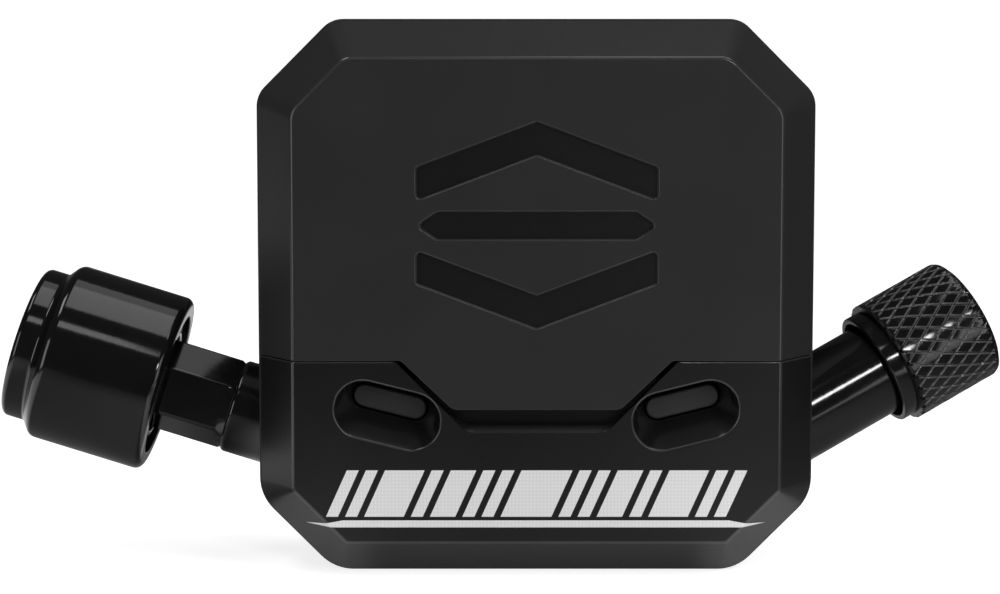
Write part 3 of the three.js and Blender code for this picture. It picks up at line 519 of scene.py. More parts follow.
def outline(inset):
    """The octagonal outline moved inwards, with corner radii that shrink towards the face."""
    half = HALF_WIDTH - inset
    leg = CORNER_LEG - inset * (2 - math.sqrt(2))
    share = min(inset / BEVEL_WIDTH, 1)
    foot_radius = 3.3 - 2.9 * share
    head_radius = 2.0 - 0.5 * share
    right = [
        (half - leg, inset, foot_radius),
        (half, inset + leg, foot_radius),
        (half, HEIGHT - inset - leg, head_radius),
        (half - leg, HEIGHT - inset, head_radius),
    ]
    left = [(-x, z, radius) for x, z, radius in reversed(right)]
    return rounded(right + left, closed=True, per_arc=8)


def housing_shell(profile):
    """A closed shell over a profile of (inset, y, radius) corners. Both its ends are flat faces."""
    bm = bmesh.new()
    rings = []
    for inset, y in rounded(profile, per_arc=5):
        rings.append([(x, y, z) for x, z in outline(inset)])
    skin(bm, rings)
    return bm


def front_shell():
    """The shell that the cover and the bezel are cut from."""
    start = SPLIT_Y - HALF_FIT_GAP
    slope = BEVEL_WIDTH / BEVEL_DEPTH
    return housing_shell([
        (TUB_WALL + (SPLIT_Y - FACE_BACK_Y) * slope, FACE_BACK_Y),
        (TUB_WALL, start),
        (HALF_FIT_GAP * slope, start, 0.12),
        (BEVEL_WIDTH, FRONT_Y, 0.34),
        (BEVEL_WIDTH + 1.2, FRONT_Y),
    ])


def seam_area(seam_z, half_top, half_foot, foot_z, foot_radius):
    """The area above the seam, with its tongue or notch, as a path in (x, z)."""
    return rounded([
        (-BEYOND, seam_z), (-half_top, seam_z, 0.5), (-half_foot, foot_z, foot_radius),
        (half_foot, foot_z, foot_radius), (half_top, seam_z, 0.5), (BEYOND, seam_z),
        (BEYOND, 2 * BEYOND), (-BEYOND, 2 * BEYOND),
    ], closed=True)


def oblong(side, size, radius, y):
    """A tilted oblong in the plane at y. side is -1 for the left one and 1 for the right one."""
    steps = 20
    tilt = side * RECESS_TILT
    corners = []
    for end in (1, -1):
        centre_x = side * size["x"] + end * size["half"] * math.cos(tilt)
        centre_z = size["z"] + end * size["half"] * math.sin(tilt)
        for step in range(steps + 1):
            angle = tilt + math.pi * (step / steps - 0.5) + (math.pi if end < 0 else 0)
            corners.append((centre_x + radius * math.cos(angle), y, centre_z + radius * math.sin(angle)))
    return corners


def on_recess_rim(edge):
    """True for an edge of a recess's mouth in the flat front."""
    for v in edge.verts:
        side = 1 if v.co.x > 0 else -1
        tilt = side * RECESS_TILT
        arm = Vector((v.co.x - side * RECESS_RIM["x"], v.co.z - RECESS_RIM["z"]))
        along = Vector((math.cos(tilt), math.sin(tilt)))
        reach = max(min(arm.dot(along), RECESS_RIM["half"]), -RECESS_RIM["half"])
        if abs((arm - along * reach).length - RECESS_RIM["radius"]) > 0.02 or v.co.y > FRONT_Y + 0.01:
            return False
    return True


def on_seam(edge):
    """True for an edge along the seam on the outside of the front mouldings."""
    for v in edge.verts:
        surface = FRONT_Y + max(abs(v.co.x) - HALF_WIDTH + BEVEL_WIDTH, 0) * BEVEL_DEPTH / BEVEL_WIDTH
        if abs(v.co.z - SEAM_Z) > 0.01 or v.co.y > surface + 0.25:
            return False
    return True


def on_front(edge):
    """True for an edge that shows from the front, on the outside of the front mouldings."""
    return all(v.co.y < FACE_BACK_Y - 0.2 for v in edge.verts)


def front_round(face):
    """True for a face in the rounds between the flat front and what it meets, or along the seam, which takes
    the painted edge highlight.
    """
    near = all(v.co.y < FRONT_Y + 0.34 for v in face.verts)
    bevel = -BEVEL_WIDTH / math.hypot(BEVEL_WIDTH, BEVEL_DEPTH)
    turned = -0.975 < face.normal.y < -0.1 and abs(face.normal.y - bevel) > 0.01
    beside_seam = all(abs(v.co.z - SEAM_Z + 0.07) < 0.1 for v in face.verts)
    return near and turned or beside_seam and 0.2 < face.normal.z < 0.98


# ---- housing pieces

def battery_cover():
    path = seam_area(SEAM_Z + SEAM_GAP, TONGUE_HALF_TOP, TONGUE_HALF_FOOT, TONGUE_Z, 0.9)
    made = boolean(front_shell(), new_prism(path, FRONT_Y - 1, REAR_Y), "INTERSECT")
    marks = bmesh.new()
    for corners in gauge_mark():
        prism(marks, rounded(corners, closed=True, per_arc=4), FRONT_Y - 1, FRONT_Y + 0.3)
    made = cut(made, marks)
    above_seam = SEAM_Z + 0.5
    soften(made, 0.09, lambda e: all(v.co.z > above_seam for v in e.verts))
    soften(made, 0.03, lambda e: all(v.co.z <= above_seam for v in e.verts))
    for side in (-1, 1):
        low, high = sorted((side * 15.5, side * 19))
        block(made, (low, -5.35, 18), (high, -4.75, 32))

    def in_mark(face):
        spot = face.calc_center_median()
        return face.normal.y < -0.9 and FRONT_Y + 0.15 < spot.y < FRONT_Y + 0.4

    piece(
        "cover", made, "cover", "housing_plastic", "battery_cover",
        # The rounded front edges and the seam take the painted edge highlight.
        extra=[("painted_edge_highlight", front_round), ("engraved_floor", in_mark)],
    )


def gauge_mark():
    """An engraved generic mark: an arrow up, a pointed level bar and an arrow down."""
    middle, half, radius = 25.3, 8.5, 0.35
    shapes = []
    for way in (1, -1):
        shapes.append([
            (-half, way * 1.7), (0, way * 4.9), (half, way * 1.7),
            (half, way * 4.1), (0, way * 7.3), (-half, way * 4.1),
        ])
    point = half - 1.5
    shapes.append([(-half, 0), (-point, 1.0), (point, 1.0), (half, 0), (point, -1.0), (-point, -1.0)])
    return [[(x, middle + rise, radius) for x, rise in shape] for shape in shapes]


def front_bezel():
    sill = bmesh.new()
    block(sill, (-12, SILL_FRONT_Y, 9.5), (12, -6.1, 14.3), edge=0.05)
    made = boolean(front_shell(), sill, "UNION")
    cups = bmesh.new()
    for side in (-1, 1):
        skin(cups, [
            oblong(side, RECESS_RIM, RECESS_RIM["radius"] + 1, FRONT_Y + 0.5),
            oblong(side, RECESS_FLOOR, RECESS_FLOOR["radius"] + 1, RECESS_FLOOR_Y + 1),
        ])
    made = join(made, cups)

    half_foot = NOTCH_HALF_TOP - (SEAM_Z - NOTCH_Z)
    mouth = seam_area(SEAM_Z, NOTCH_HALF_TOP, half_foot, NOTCH_Z, 1.5)
    throat = seam_area(SEAM_Z, NOTCH_HALF_TOP, half_foot + NOTCH_LIP * 0.6, NOTCH_Z + NOTCH_LIP, 1.5)
    notch = bmesh.new()
    rings = [(mouth, FRONT_Y - 1), (mouth, FRONT_Y), (throat, FRONT_Y + NOTCH_LIP), (throat, SILL_FRONT_Y)]
    skin(notch, [[(x, y, z) for x, z in path] for path, y in rings])
    made = cut(made, notch)
    above = new_prism(rectangle(-BEYOND, SEAM_Z, BEYOND, 2 * BEYOND), SILL_FRONT_Y - 0.1, REAR_Y)
    made = cut(made, above)

    recesses = bmesh.new()
    for side in (-1, 1):
        rim = RECESS_RIM["radius"]
        floor = RECESS_FLOOR["radius"]
        lead = (rim - floor) / (RECESS_FLOOR_Y - FRONT_Y)
        skin(recesses, [
            oblong(side, RECESS_RIM, rim + lead * 0.3, FRONT_Y - 0.3),
            oblong(side, RECESS_RIM, rim, FRONT_Y),
            oblong(side, RECESS_FLOOR, floor, RECESS_FLOOR_Y),
            oblong(side, RECESS_FLOOR, floor, RECESS_FLOOR_Y + 2),
        ])
    made = cut(made, recesses)
    soften(made, 0.12, on_recess_rim, clamp=False)
    soften(made, 0.12, on_seam, clamp=False)
    soften(made, 0.09, on_front)

    def in_recess(face):
        spot = face.calc_center_median()
        near = min((spot - Vector((side * 10.5, spot.y, 12))).length for side in (-1, 1))
        return near < 4.2 and FRONT_Y + 0.1 < spot.y < RECESS_FLOOR_Y + 0.1 and spot.z < SEAM_Z - 1

    # The bezel takes the housing plastic painted darker, as painted shade.
    piece(
        "bezel", made, "housing", "housing_plastic", "front_bezel", finish="bezel_painted_shade",
        # The rounded front edges and the seam take the painted edge highlight.
        extra=[("painted_edge_highlight", front_round), ("recess_wall", in_recess)],
    )


def print_band():
    """A generic printed band: slanted blocks over a thin line whose tips fold onto the lower corners."""
    low, high = 4.68, 8.0
    lean = 0.45
    widths = [0.85, 0.85, 2.8, 0.85, 1.8, 0.85, 0.85, 3.6, 0.85, 0.85, 1.8, 0.85, 2.8, 0.85, 0.85]
    gap = 0.5
    start = -(sum(widths) + gap * (len(widths) - 1)) / 2
    shapes = [[(-16.5, 3.92), (-14.2, 3.92), (14.2, 3.92), (16.4, 3.92), (13.6, 4.42), (-13.7, 4.42)]]
    for width in widths:
        shift = lean * (high - low) / 2
        shapes.append([
            (start - shift, low), (start + width - shift, low),
            (start + width + shift, high), (start + shift, high),
        ])
        start += width + gap
    made = bmesh.new()
    for corners in shapes:
        made.faces.new([made.verts.new((x, 0, z)) for x, z in corners])
    fold = HALF_WIDTH - CORNER_LEG - BEVEL_WIDTH * math.sqrt(2)
    for side in (-1, 1):
        everything = made.verts[:] + made.edges[:] + made.faces[:]
        bmesh.ops.bisect_plane(
            made, geom=everything, plane_co=(side * fold, 0, 0), plane_no=(side, 0, -1), dist=1e-5
        )
    slope = BEVEL_DEPTH / BEVEL_WIDTH
    for v in made.verts:
        beyond = max(abs(v.co.x) - v.co.z - fold, 0) / math.sqrt(2)
        v.co.y = FRONT_Y - 0.02 + slope * beyond
    grown = bmesh.ops.extrude_face_region(made, geom=made.faces[:])
    back = [item for item in grown["geom"] if isinstance(item, bmesh.types.BMVert)]
    bmesh.ops.translate(made, vec=(0, 0.06, 0), verts=back)
    piece("print_band", made, "housing", "white_print")


def rear_housing():
    floor_y = REAR_Y - TUB_WALL
    rim_y = SPLIT_Y + HALF_FIT_GAP
    step_y = SPLIT_Y + 0.85
    made = housing_shell([
        (TUB_WALL + REAR_BEVEL, floor_y), (TUB_WALL, floor_y - REAR_BEVEL), (TUB_WALL, step_y),
        (0.8, step_y), (0.8, rim_y), (0, rim_y, 0.2), (0, REAR_Y - REAR_BEVEL, 0.6),
        (REAR_BEVEL, REAR_Y, 0.4), (REAR_BEVEL + 1, REAR_Y),
    ])
    bosses = bmesh.new()
    holes = bmesh.new()
    for x, z in SCREWS:
        place = along_y(x, z)
        front = 4.2 if z == UPPER_SCREW_Z else 6.4
        lathe(bosses, rod(2.4, front, REAR_Y - 0.5), place, 48)
        lathe(holes, [(0, 3), (0.95, 3), (0.95, 7.05), (1.8, 7.05), (1.8, 10), (0, 10)], place, 48)
    for place in (COUPLING, FILL):
        lathe(holes, rod(PORT_TUBE_RADIUS + 0.15, -7, 7), place, 96)
    made = join(made, bosses)
    made = cut(made, holes)
    soften(made, 0.12, lambda e: any(abs(v.co.x) > 19.9 or v.co.y > 8.7 for v in e.verts))
    piece("tub", made, "housing", "housing_plastic", "rear_housing")


def light_windows():
    for name, side in (("left", -1), ("right", 1)):
        made = bmesh.new()
        skin(made, [
            oblong(side, RECESS_FLOOR, 0.7, RECESS_FLOOR_Y),
            oblong(side, RECESS_FLOOR, 0.8, RECESS_FLOOR_Y + 0.1),
            oblong(side, RECESS_FLOOR, 0.8, RECESS_FLOOR_Y + 1.45),
        ])
        piece("window_" + name, made, "housing", "smoked_window", "light_window_" + name)


# ---- coupling

def hexagon(across_flats, edge):
    """Limits a turned surface to a hexagon with rounded edges, with flats that look along the frame's Y."""
    half_sector = math.pi / 6
    apothem = across_flats / 2
    centre = (apothem - edge) / math.cos(half_sector)
    reach = math.atan2(edge * math.sin(half_sector), centre + edge * math.cos(half_sector))

    def shape(radius, height, angle):
        off_flat = (angle + half_sector - math.pi / 2) % (2 * half_sector) - half_sector
        off_corner = half_sector - abs(off_flat)
        if off_corner < reach:
            limit = centre * math.cos(off_corner)
            limit += math.sqrt(edge ** 2 - (centre * math.sin(off_corner)) ** 2)
        else:
            limit = apothem / math.cos(off_flat)
        return min(radius, limit)
    return shape


def thread(depth, pitch, low, high, inner, outer):
    """Adds a right-hand thread's ridges to a turned surface between two heights and two radii."""
    def shape(radius, height, angle):
        if not inner < radius < outer:
            return radius
        fade = min(max((height - low) / pitch, 0), max((high - height) / pitch, 0), 1)
        phase = (height / pitch - angle / (2 * math.pi)) % 1
        ridge = min(max(2 - abs(phase - 0.5) * 5, 0), 1)
        return radius + depth * fade * (ridge - 0.5)
    return shape


def fine_heights(path, low, high, spacing):
    """The path with extra points where its straight runs lie between two heights."""
    out = [Vector(path[0])]
    for before, after in zip(path, path[1:]):
        before, after = Vector(before), Vector(after)
        inside = min(before.y, after.y) >= low - 1e-6 and max(before.y, after.y) <= high + 1e-6
        count = max(int(abs(after.y - before.y) / spacing), 1) if inside else 1
        out += [before.lerp(after, (k + 1) / count) for k in range(count)]
    return out


def coupling():
    tube = PORT_TUBE_RADIUS
    flange = [(0, -3.6), (tube, -3.6, 0.2), (tube, 2.05, 0.35), (2.6, 2.05, 0.1), (2.6, 1.6), (0, 1.6)]
    hexed = [(0, 1.7), (3.1, 1.7), (3.42, 2.3), (3.55, 2.75), (3.55, 8.7), (3.1, 9.3), (0, 9.3)]
    head = [(0, 9.2), (4.7, 9.2, 0.1), (4.7, 12, 0.3), (2.4, 12, 0.1), (2.4, 11), (0, 11)]
    spigot = [
        (0, -10.5), (2.5, -10.5, 0.3), (2.5, -9), (1.8, -9), (1.8, -8), (2.5, -8), (2.5, -3.5), (0, -3.5),
    ]
    made = bmesh.new()
    lathe(made, rounded(flange), COUPLING)
    lathe(made, fine_heights(rounded(hexed), 2, 9, 0.25), COUPLING, 360, hexagon(6, 0.3))
    lathe(made, rounded(head), COUPLING)
    lathe(made, rounded(spigot), COUPLING, 64)
    piece("barrel", made, "housing", "black_anodised", "coupling_barrel")

    end = 18.19
    collar = ring([
        (5.3, 7.12, 0.12), (6.65, 7.12, 0.62), (6.65, end - 2.45, 0.75), (5.675, end - 1.72, 0.35),
        (5.675, end, 0.42), (3.95, end, 0.35), (3.95, 13.55, 0.1), (4.9, 13.55, 0.3),
        (4.9, 8.95, 0.05), (5.3, 8.95, 0.1),
    ], per_arc=8)
    turned_piece(
        "collar", "coupling_collar", "collar", "black_anodised", COUPLING,
        fine_heights(collar, 13.6, 17.8, 0.06), 144, thread(0.36, VALVE_PITCH, 13.9, 17.5, 0, 4.1),
    )
    dish = ring([
        (3.65, 7.37, 0.16), (4.02, 7.37, 0.16), (4.3, 7.82, 0.16), (4.9, 7.82, 0.12),
        (5.18, 7.57, 0.06), (5.18, 8.85, 0.06), (3.65, 8.85, 0.1),
    ])
    turned_piece(
        "retaining_ring", "collar_retaining_ring", "collar", "black_anodised", COUPLING, dish, 128
    )
    washer = ring([(1.7, 12.1, 0.1), (3.85, 12.1, 0.1), (3.85, 13.4, 0.25), (1.7, 13.4, 0.25)])
    turned_piece("gasket", "coupling_gasket", "housing", "black_rubber", COUPLING, washer, 96)
    pin = rounded([
        (0, 11.1), (2.25, 11.1, 0.05), (2.25, 11.9, 0.15), (0.65, 11.9, 0.2), (0.65, 13.9, 0.25), (0, 13.9),
    ])
    turned_piece("depressor", "core_depressor", "housing", "steel", COUPLING, pin)


# ---- fill valve

def fill_valve():
    tube = PORT_TUBE_RADIUS
    stem = ring([
        (0.9, -9.5), (2.5, -9.5, 0.3), (2.5, -8), (1.8, -8), (1.8, -7), (2.5, -7), (2.5, -4.8),
        (tube, -4.8, 0.2), (tube, 6.4), (3.7, 6.6), (3.7, 12.2, 0.35), (2.65, 12.2, 0.15),
        (2.65, 3.3), (2.1, 3.3), (2.1, 0.8), (0.9, 0.8),
    ])
    turned_piece(
        "stem", "fill_stem", "housing", "black_anodised", FILL,
        fine_heights(stem, 6.5, 11.9, 0.066), 128, thread(0.3, VALVE_PITCH, 6.5, 11.9, 3.65, 4),
    )
    body = ring([
        (0.85, 3.4), (2.5, 3.4, 0.1), (2.5, 11, 0.2), (1.35, 11, 0.15), (1.35, 5.6), (0.85, 5.6),
    ])
    turned_piece("core_body", "valve_core_body", "housing", "brass", FILL, body)
    pin = rounded([
        (0, 2.1), (1.2, 2.1, 0.08), (1.2, 2.35), (0.55, 2.35), (0.55, 9.7), (1.1, 9.7, 0.1),
        (1.1, 10.2, 0.1), (0.6, 10.2), (0.6, 11.8, 0.2), (0, 11.8),
    ])
    turned_piece("core_pin", "valve_core_pin", "core_pin", "brass", FILL, pin, 48)


def knurl_cut(across, along):
    """How deep the knurl lies at a place, which is counted in diamonds along both groove directions."""
    groove = 0
    crown = 0
    for position in (across, along):
        off = abs(position - round(position))
        groove = max(groove, min(max((GROOVE_RIM - off) / (GROOVE_RIM - GROOVE_FOOT), 0), 1))
        crown += 0.5 - max(off, GROOVE_RIM)
    return GROOVE_DEPTH * groove + CROWN * crown


def flat_knurl(cell, rise):
    """The cap's side unrolled into a plane, with mesh lines along each groove's foot and rims."""
    cuts = [0, GROOVE_FOOT, GROOVE_RIM, 0.5, 1 - GROOVE_RIM, 1 - GROOVE_FOOT]
    marks = sorted(k + c for k in range(-40, 80) for c in cuts)
    first = [m for m in marks if -14 <= m <= 60]
    flat = bmesh.new()
    grid = {}

    def corner(a, b):
        if (a, b) not in grid:
            grid[a, b] = flat.verts.new(((a + b) / 2 * cell, (a - b) / 2 * rise + CAP_LOW, 0))
        return grid[a, b]

    for a, next_a in zip(first, first[1:]):
        for b, next_b in zip(marks, marks[1:]):
            across, up = (a + b) / 2, (a - b) / 2 * rise
            if -1 < across < KNURL_STARTS + 1 and -rise < up < CAP_HIGH - CAP_LOW + rise:
                flat.faces.new((corner(a, b), corner(next_a, b), corner(next_a, next_b), corner(a, next_b)))
    outer_planes = [
        ((0, 0, 0), (-1, 0, 0)), ((2 * math.pi * CAP_RADIUS, 0, 0), (1, 0, 0)),
        ((0, CAP_LOW, 0), (0, -1, 0)), ((0, CAP_HIGH, 0), (0, 1, 0)),
    ]
    inner_planes = [((0, up, 0), (0, 1, 0)) for up in (CAP_LOW + 0.22, CAP_HIGH - 0.42, CAP_HIGH - 0.15)]
    for spot, normal in outer_planes + inner_planes:
        everything = flat.verts[:] + flat.edges[:] + flat.faces[:]
        bmesh.ops.bisect_plane(
            flat, geom=everything, plane_co=spot, plane_no=normal, dist=1e-5,
            clear_outer=(spot, normal) in outer_planes,
        )
    return flat


def add_rings(bm, height, path):
    """Continues a turned surface from its rim at a height through (radius, height) rings, and closes it."""
    rim = [v for v in bm.verts if abs(v.co.z - height) < 1e-4]
    rim.sort(key=lambda v: math.atan2(v.co.y, v.co.x))
    loop = rim
    for radius, z in path:
        made = []
        for v in rim:
            angle = math.atan2(v.co.y, v.co.x)
            made.append(bm.verts.new(polar(radius, angle, z)))
        for k in range(len(rim)):
            following = (k + 1) % len(rim)
            bm.faces.new((loop[k], loop[following], made[following], made[k]))
        loop = made
    bm.faces.new(loop)


def cap():
    """The valve cap: a plain skirt, a diamond knurl and a flat end, as one closed surface."""
    low, high, outer = CAP_LOW, CAP_HIGH, CAP_RADIUS
    cell = 2 * math.pi * outer / KNURL_STARTS
    rise = cell / math.tan(math.radians(30)) * 0.98
    made = flat_knurl(cell, rise)
    chamfers = [
        (low, 4.34), (low + 0.22, outer), (high - 0.42, outer), (high - 0.15, outer - 0.14),
        (high, outer - 0.42),
    ]
    for v in made.verts:
        around, up = v.co.x, v.co.y
        a = around / cell + (up - low) / rise
        b = around / cell - (up - low) / rise
        limit = outer
        for (h0, r0), (h1, r1) in zip(chamfers, chamfers[1:]):
            if h0 <= up <= h1 + 1e-6:
                limit = r0 + (r1 - r0) * (up - h0) / (h1 - h0)
        v.co = polar(min(outer - knurl_cut(a, b), limit), around / outer, up)
    bmesh.ops.remove_doubles(made, verts=made.verts, dist=1e-4)
    add_rings(made, high, rounded([
        (outer - 0.45, high + 0.03), (3.4, high + 0.03, 0.1), (3.2, high - 0.1, 0.1), (0.01, high - 0.1),
    ]))
    add_rings(made, low, rounded([
        (4.3, low - 0.02), (4.3, SKIRT_LOW, 0.12), (3.9, SKIRT_LOW, 0.06), (3.9, 12.95, 0.1), (0.01, 12.95),
    ]))
    bmesh.ops.transform(made, matrix=FILL, verts=made.verts)
    to_port = FILL.inverted()

    # The knurl's groove walls, which take the painted groove highlight.
    def in_groove(face):
        middle = to_port @ face.calc_center_median()
        if not low + 0.3 < middle.z < high - 0.45 or middle.xy.length < 4:
            return False
        outward = Vector((middle.x, middle.y, 0)).normalized()
        return (to_port.to_3x3() @ face.normal).angle(outward) > math.radians(25)

    def on_shoulder_or_mouth(face):
        middle = to_port @ face.calc_center_median()
        on_shoulder = low - 0.05 < middle.z < low + 0.2 and middle.xy.length > 4.3
        return on_shoulder or middle.z < SKIRT_LOW + 0.06

    piece(
        "cap", made, "cap", "black_anodised", "valve_cap", sharp=50,
        # The groove walls take the painted groove highlight.
        extra=[("painted_groove_highlight", in_groove), ("engraved_floor", on_shoulder_or_mouth)],
    )


# ---- inner pieces

def o_ring(name, node, place, major, minor, height):
    around = [polar(minor, math.radians(15 * k), 0) for k in range(25)]
    section = [Vector((major + arm.x, height + arm.y)) for arm in around]
    turned_piece(name, node, "housing", "black_rubber", place, section, 96)


def rim_gasket():
    made = bmesh.new()
    front, back = SPLIT_Y + 0.15, SPLIT_Y + 0.75
    section = rounded(
        [(0.95, front, 0.15), (0.95, back, 0.15), (1.5, back, 0.15), (1.5, front, 0.15)], closed=True
    )
    skin(made, [[(x, y, z) for x, z in outline(inset)] for inset, y in section], wrap=True)
    piece("gasket_rim", made, "housing", "black_rubber", "rim_gasket")


def battery_tray():
    front, back, joined = -3.5, -2.7, -3.3
    cup_front, rail_front = -5.9, -6.15
    plate = new_prism(outline(1.9), front, back)
    below = new_prism(rectangle(-BEYOND, -BEYOND, BEYOND, 14.6), -10, 10)
    made = cut(plate, below)
    raised = bmesh.new()
    cup = ring([(10.25, cup_front, 0.1), (11, cup_front, 0.1), (11, joined), (10.25, joined)])
    lathe(raised, cup, along_y(0, CELL_Z), 160)
    for side in (-1, 1):
        rail = rectangle(side * 14.2, RAIL_LOW_Z, side * 15.2, RAIL_HIGH_Z)
        prism(raised, rail, rail_front, joined)
    made = join(made, raised)
    added = bmesh.new()
    post = rounded([(0, -3), (1.6, -3), (1.6, 4, 0.2), (0, 4)])
    stud = rounded([(0, -4.4), (1.3, -4.4, 0.2), (1.3, -3), (0, -3)])
    for side in (-1, 1):
        lip = rectangle(side * 14.4, RAIL_LOW_Z, side * 16.4, RAIL_HIGH_Z)
        prism(added, lip, rail_front, -5.6)
        lathe(added, post, along_y(side * SCREW_X, UPPER_SCREW_Z), 48)
        lathe(added, stud, along_y(side * BOARD_SCREW_X, BOARD_SCREW_Z), 48)
    made = join(made, added)
    slots = new_prism(rectangle(-2, 34.8, 2, 37), -7, 0)
    prism(slots, rectangle(-1.5, 18.9, 1.5, 19.7), cup_front, 0)
    made = cut(made, slots)
    holes = []
    for side in (-1, 1):
        holes.append((side * SCREW_X, UPPER_SCREW_Z, 0.95, 0.8, 5))
        holes.append((side * BOARD_SCREW_X, BOARD_SCREW_Z, 0.75, -3.9, 0))
    made = cut_holes(made, holes)
    soften(made, 0.08, least=STEEP)
    piece("tray", made, "housing", "inner_plastic", "battery_tray")


def coin_cell():
    front, back = -7.05, -3.85
    can = rounded([
        (0, front + 0.06), (6.9, front + 0.06, 0.4), (7.3, front, 0.4), (10, front, 0.45),
        (10, back - 0.7, 0.2), (8.9, back - 0.35, 0.1), (8.7, back, 0.15), (0, back),
    ], per_arc=8)
    turned_piece("cell", "coin_cell", "housing", "steel", along_y(0, CELL_Z), can, 192)


def strip(bm, path, half_width, thickness):
    """A bent sheet that follows a path of (y, z), with its width along X."""
    points = [Vector(p) for p in path]
    rings = []
    for k, here in enumerate(points):
        ahead = points[min(k + 1, len(points) - 1)] - points[max(k - 1, 0)]
        normal = Vector((-ahead.y, ahead.x)).normalized() * thickness / 2
        low, high = here - normal, here + normal
        rings.append([
            (-half_width, *low), (half_width, *low), (half_width, *high), (-half_width, *high),
        ])
    skin(bm, rings)


def contacts():
    made = bmesh.new()
    strip(made, [(-5.9, 35.05), (-5.2, 35.05), (-4.6, 35.0), (-4, 35.05), (-2.6, 35.05)], 1.5, 0.3)
    soften(made, 0.06, least=STEEP)
    piece("contact_positive", made, "housing", "steel", "battery_contact_positive")
    made = bmesh.new()
    strip(made, [(-3.7, 29), (-3.7, 19.1)], 3, 0.19)
    soften(made, 0.05, least=STEEP)
    strip(made, rounded([(-3.72, 21), (-3.72, 19.27, 0.25), (-2.6, 19.27)]), 1.2, 0.17)
    piece("contact_negative", made, "housing", "steel", "battery_contact_negative")


def circuit_board():
    made = new_prism(outline(2.2), BOARD_FRONT_Y, BOARD_BACK_Y)
    corner = new_prism([
        (-BEYOND, -BEYOND), (BEYOND, -BEYOND), (BEYOND, 14.2), (11.2, 14.2),
        (11.2, 4.2), (-11.2, 4.2), (-11.2, 14.2), (-BEYOND, 14.2),
    ], -10, 10)
    made = cut(made, corner)
    holes = []
    for side in (-1, 1):
        holes.append((side * SCREW_X, UPPER_SCREW_Z, 1.85, -10, 10))
        holes.append((side * BOARD_SCREW_X, BOARD_SCREW_Z, 0.75, -10, 10))
    made = cut_holes(made, holes)
    soften(made, 0.04, least=STEEP)
    piece("board", made, "housing", "board_laminate", "circuit_board")


def chip(name, node, x, z, width, height, thickness, slot, pads):
    """A flat component on the back of the board: a bevelled body over rows of soldered pads."""
    front = -1.65
    edge = 0.08
    pad_top = front + 0.2
    right, top = width / 2, height / 2
    made = bmesh.new()
    low = (x - right + edge, front + 0.06, z - top + edge)
    high = (x + right - edge, front + thickness, z + top - edge)
    block(made, low, high, edge)
    half = 0.3 * (width - 0.7) / pads
    for k in range(pads):
        across = x + (k - (pads - 1) / 2) * (width - 0.7) / max(pads - 1, 1)
        for side in (-1, 1):
            ends = sorted((z + side * (top - 0.35), z + side * top))
            block(made, (across - half, front, ends[0]), (across + half, pad_top, ends[1]), 0.02)

    def on_pad(face):
        return face.calc_center_median().y < pad_top + 0.01 and face.calc_area() < 0.25

    piece(name, made, "housing", slot, node, extra=[("steel", on_pad)])


def electronics():
    chip("processor", "processor_chip", -4.5, 25, 6, 6, 0.9, "chip_resin", 10)
    chip("antenna", "radio_antenna", 7, 32, 3.2, 1.6, 1.1, "white_ceramic", 2)
    chip("motion", "motion_sensor", 5.5, 22, 3, 3, 0.9, "chip_resin", 5)
    sides = (("left", -1), ("right", 1))
    for name, side in sides:
        x, z = side * RECESS_FLOOR["x"], RECESS_FLOOR["z"]
        made = bmesh.new()
        block(made, (x - 0.6, -2.85, z - 0.4), (x + 0.6, -2.55, z + 0.4), edge=0.04)
        dome = rounded([(0, -3.15), (0.36, -3.15, 0.2), (0.38, -2.8), (0, -2.8)])
        lathe(made, dome, along_y(x, z), 32)
        piece("led_" + name, made, "housing", "white_ceramic", "status_led_" + name)
    can = rounded([
        (0, -1.6), (2.9, -1.6, 0.1), (2.9, 0.2, 0.2), (2.5, 0.3, 0.1), (2.5, 0.8, 0.15), (0.5, 0.8, 0.05),
        (0.5, 0.5), (0, 0.5),
    ])
    turned_piece("sensor", "pressure_sensor", "housing", "steel", along_y(0, SENSOR_Z), can)
    screw = rounded([
        (0, -3.8), (0.3, -3.8), (0.6, -3.4), (0.6, -1.65), (1.2, -1.65, 0.06), (1.2, -0.85, 0.35),
        (0.45, -0.85, 0.1), (0.35, -1.2), (0, -1.2),
    ])
    for name, side in sides:
        place = along_y(side * BOARD_SCREW_X, BOARD_SCREW_Z)
        turned_piece("board_fixing_" + name, "board_screw_" + name, "housing", "steel", place, screw)


def air_manifold():
    made = bmesh.new()
    block(made, (-12, -1.5, 3.2), (12, 6.2, 12.4), edge=0.3)
    bosses = bmesh.new()
    for place, low, high in ((COUPLING, -10.5, -3.8), (FILL, -9.5, -5.0)):
        lathe(bosses, rod(3.9, low, high), place, 96)
    gap = TUB_WALL + 0.2
    inside = housing_shell([
        (gap + 1.2, FACE_BACK_Y), (gap, FACE_BACK_Y + 2), (gap, REAR_Y - gap - REAR_BEVEL),
        (gap + REAR_BEVEL, REAR_Y - gap),
    ])
    bosses = boolean(bosses, inside, "INTERSECT")
    clear = bmesh.new()
    block(clear, (-11.7, -20, -10), (11.7, -1.5, 30), edge=0.01)
    bosses = cut(bosses, clear)
    made = join(made, bosses)
    holes = bmesh.new()
    for place, low, high in ((COUPLING, -10.7, 0), (FILL, -9.7, 0)):
        lathe(holes, rod(2.7, low, high), place, 96)
    seat = [(0, -3), (3.2, -3), (3.2, 1.85), (0.75, 1.85), (0.75, 3.4), (0, 3.4)]
    lathe(holes, seat, along_y(0, SENSOR_Z), 96)
    made = cut(made, holes)
    made = cut_holes(made, [(side * SCREW_X, LOWER_SCREW_Z, 0.95, 3.3, 10) for side in (-1, 1)])
    piece("manifold", made, "housing", "bare_aluminium", "air_manifold")


def socket_shape(radius, height, angle):
    """Turns the small bore of a screw's head into a hexagonal socket."""
    if height < 7.6 or not 0.05 < radius < 0.9:
        return radius
    sector = math.pi / 3
    return radius * math.cos(sector / 2) / math.cos(angle % sector - sector / 2) * 1.05


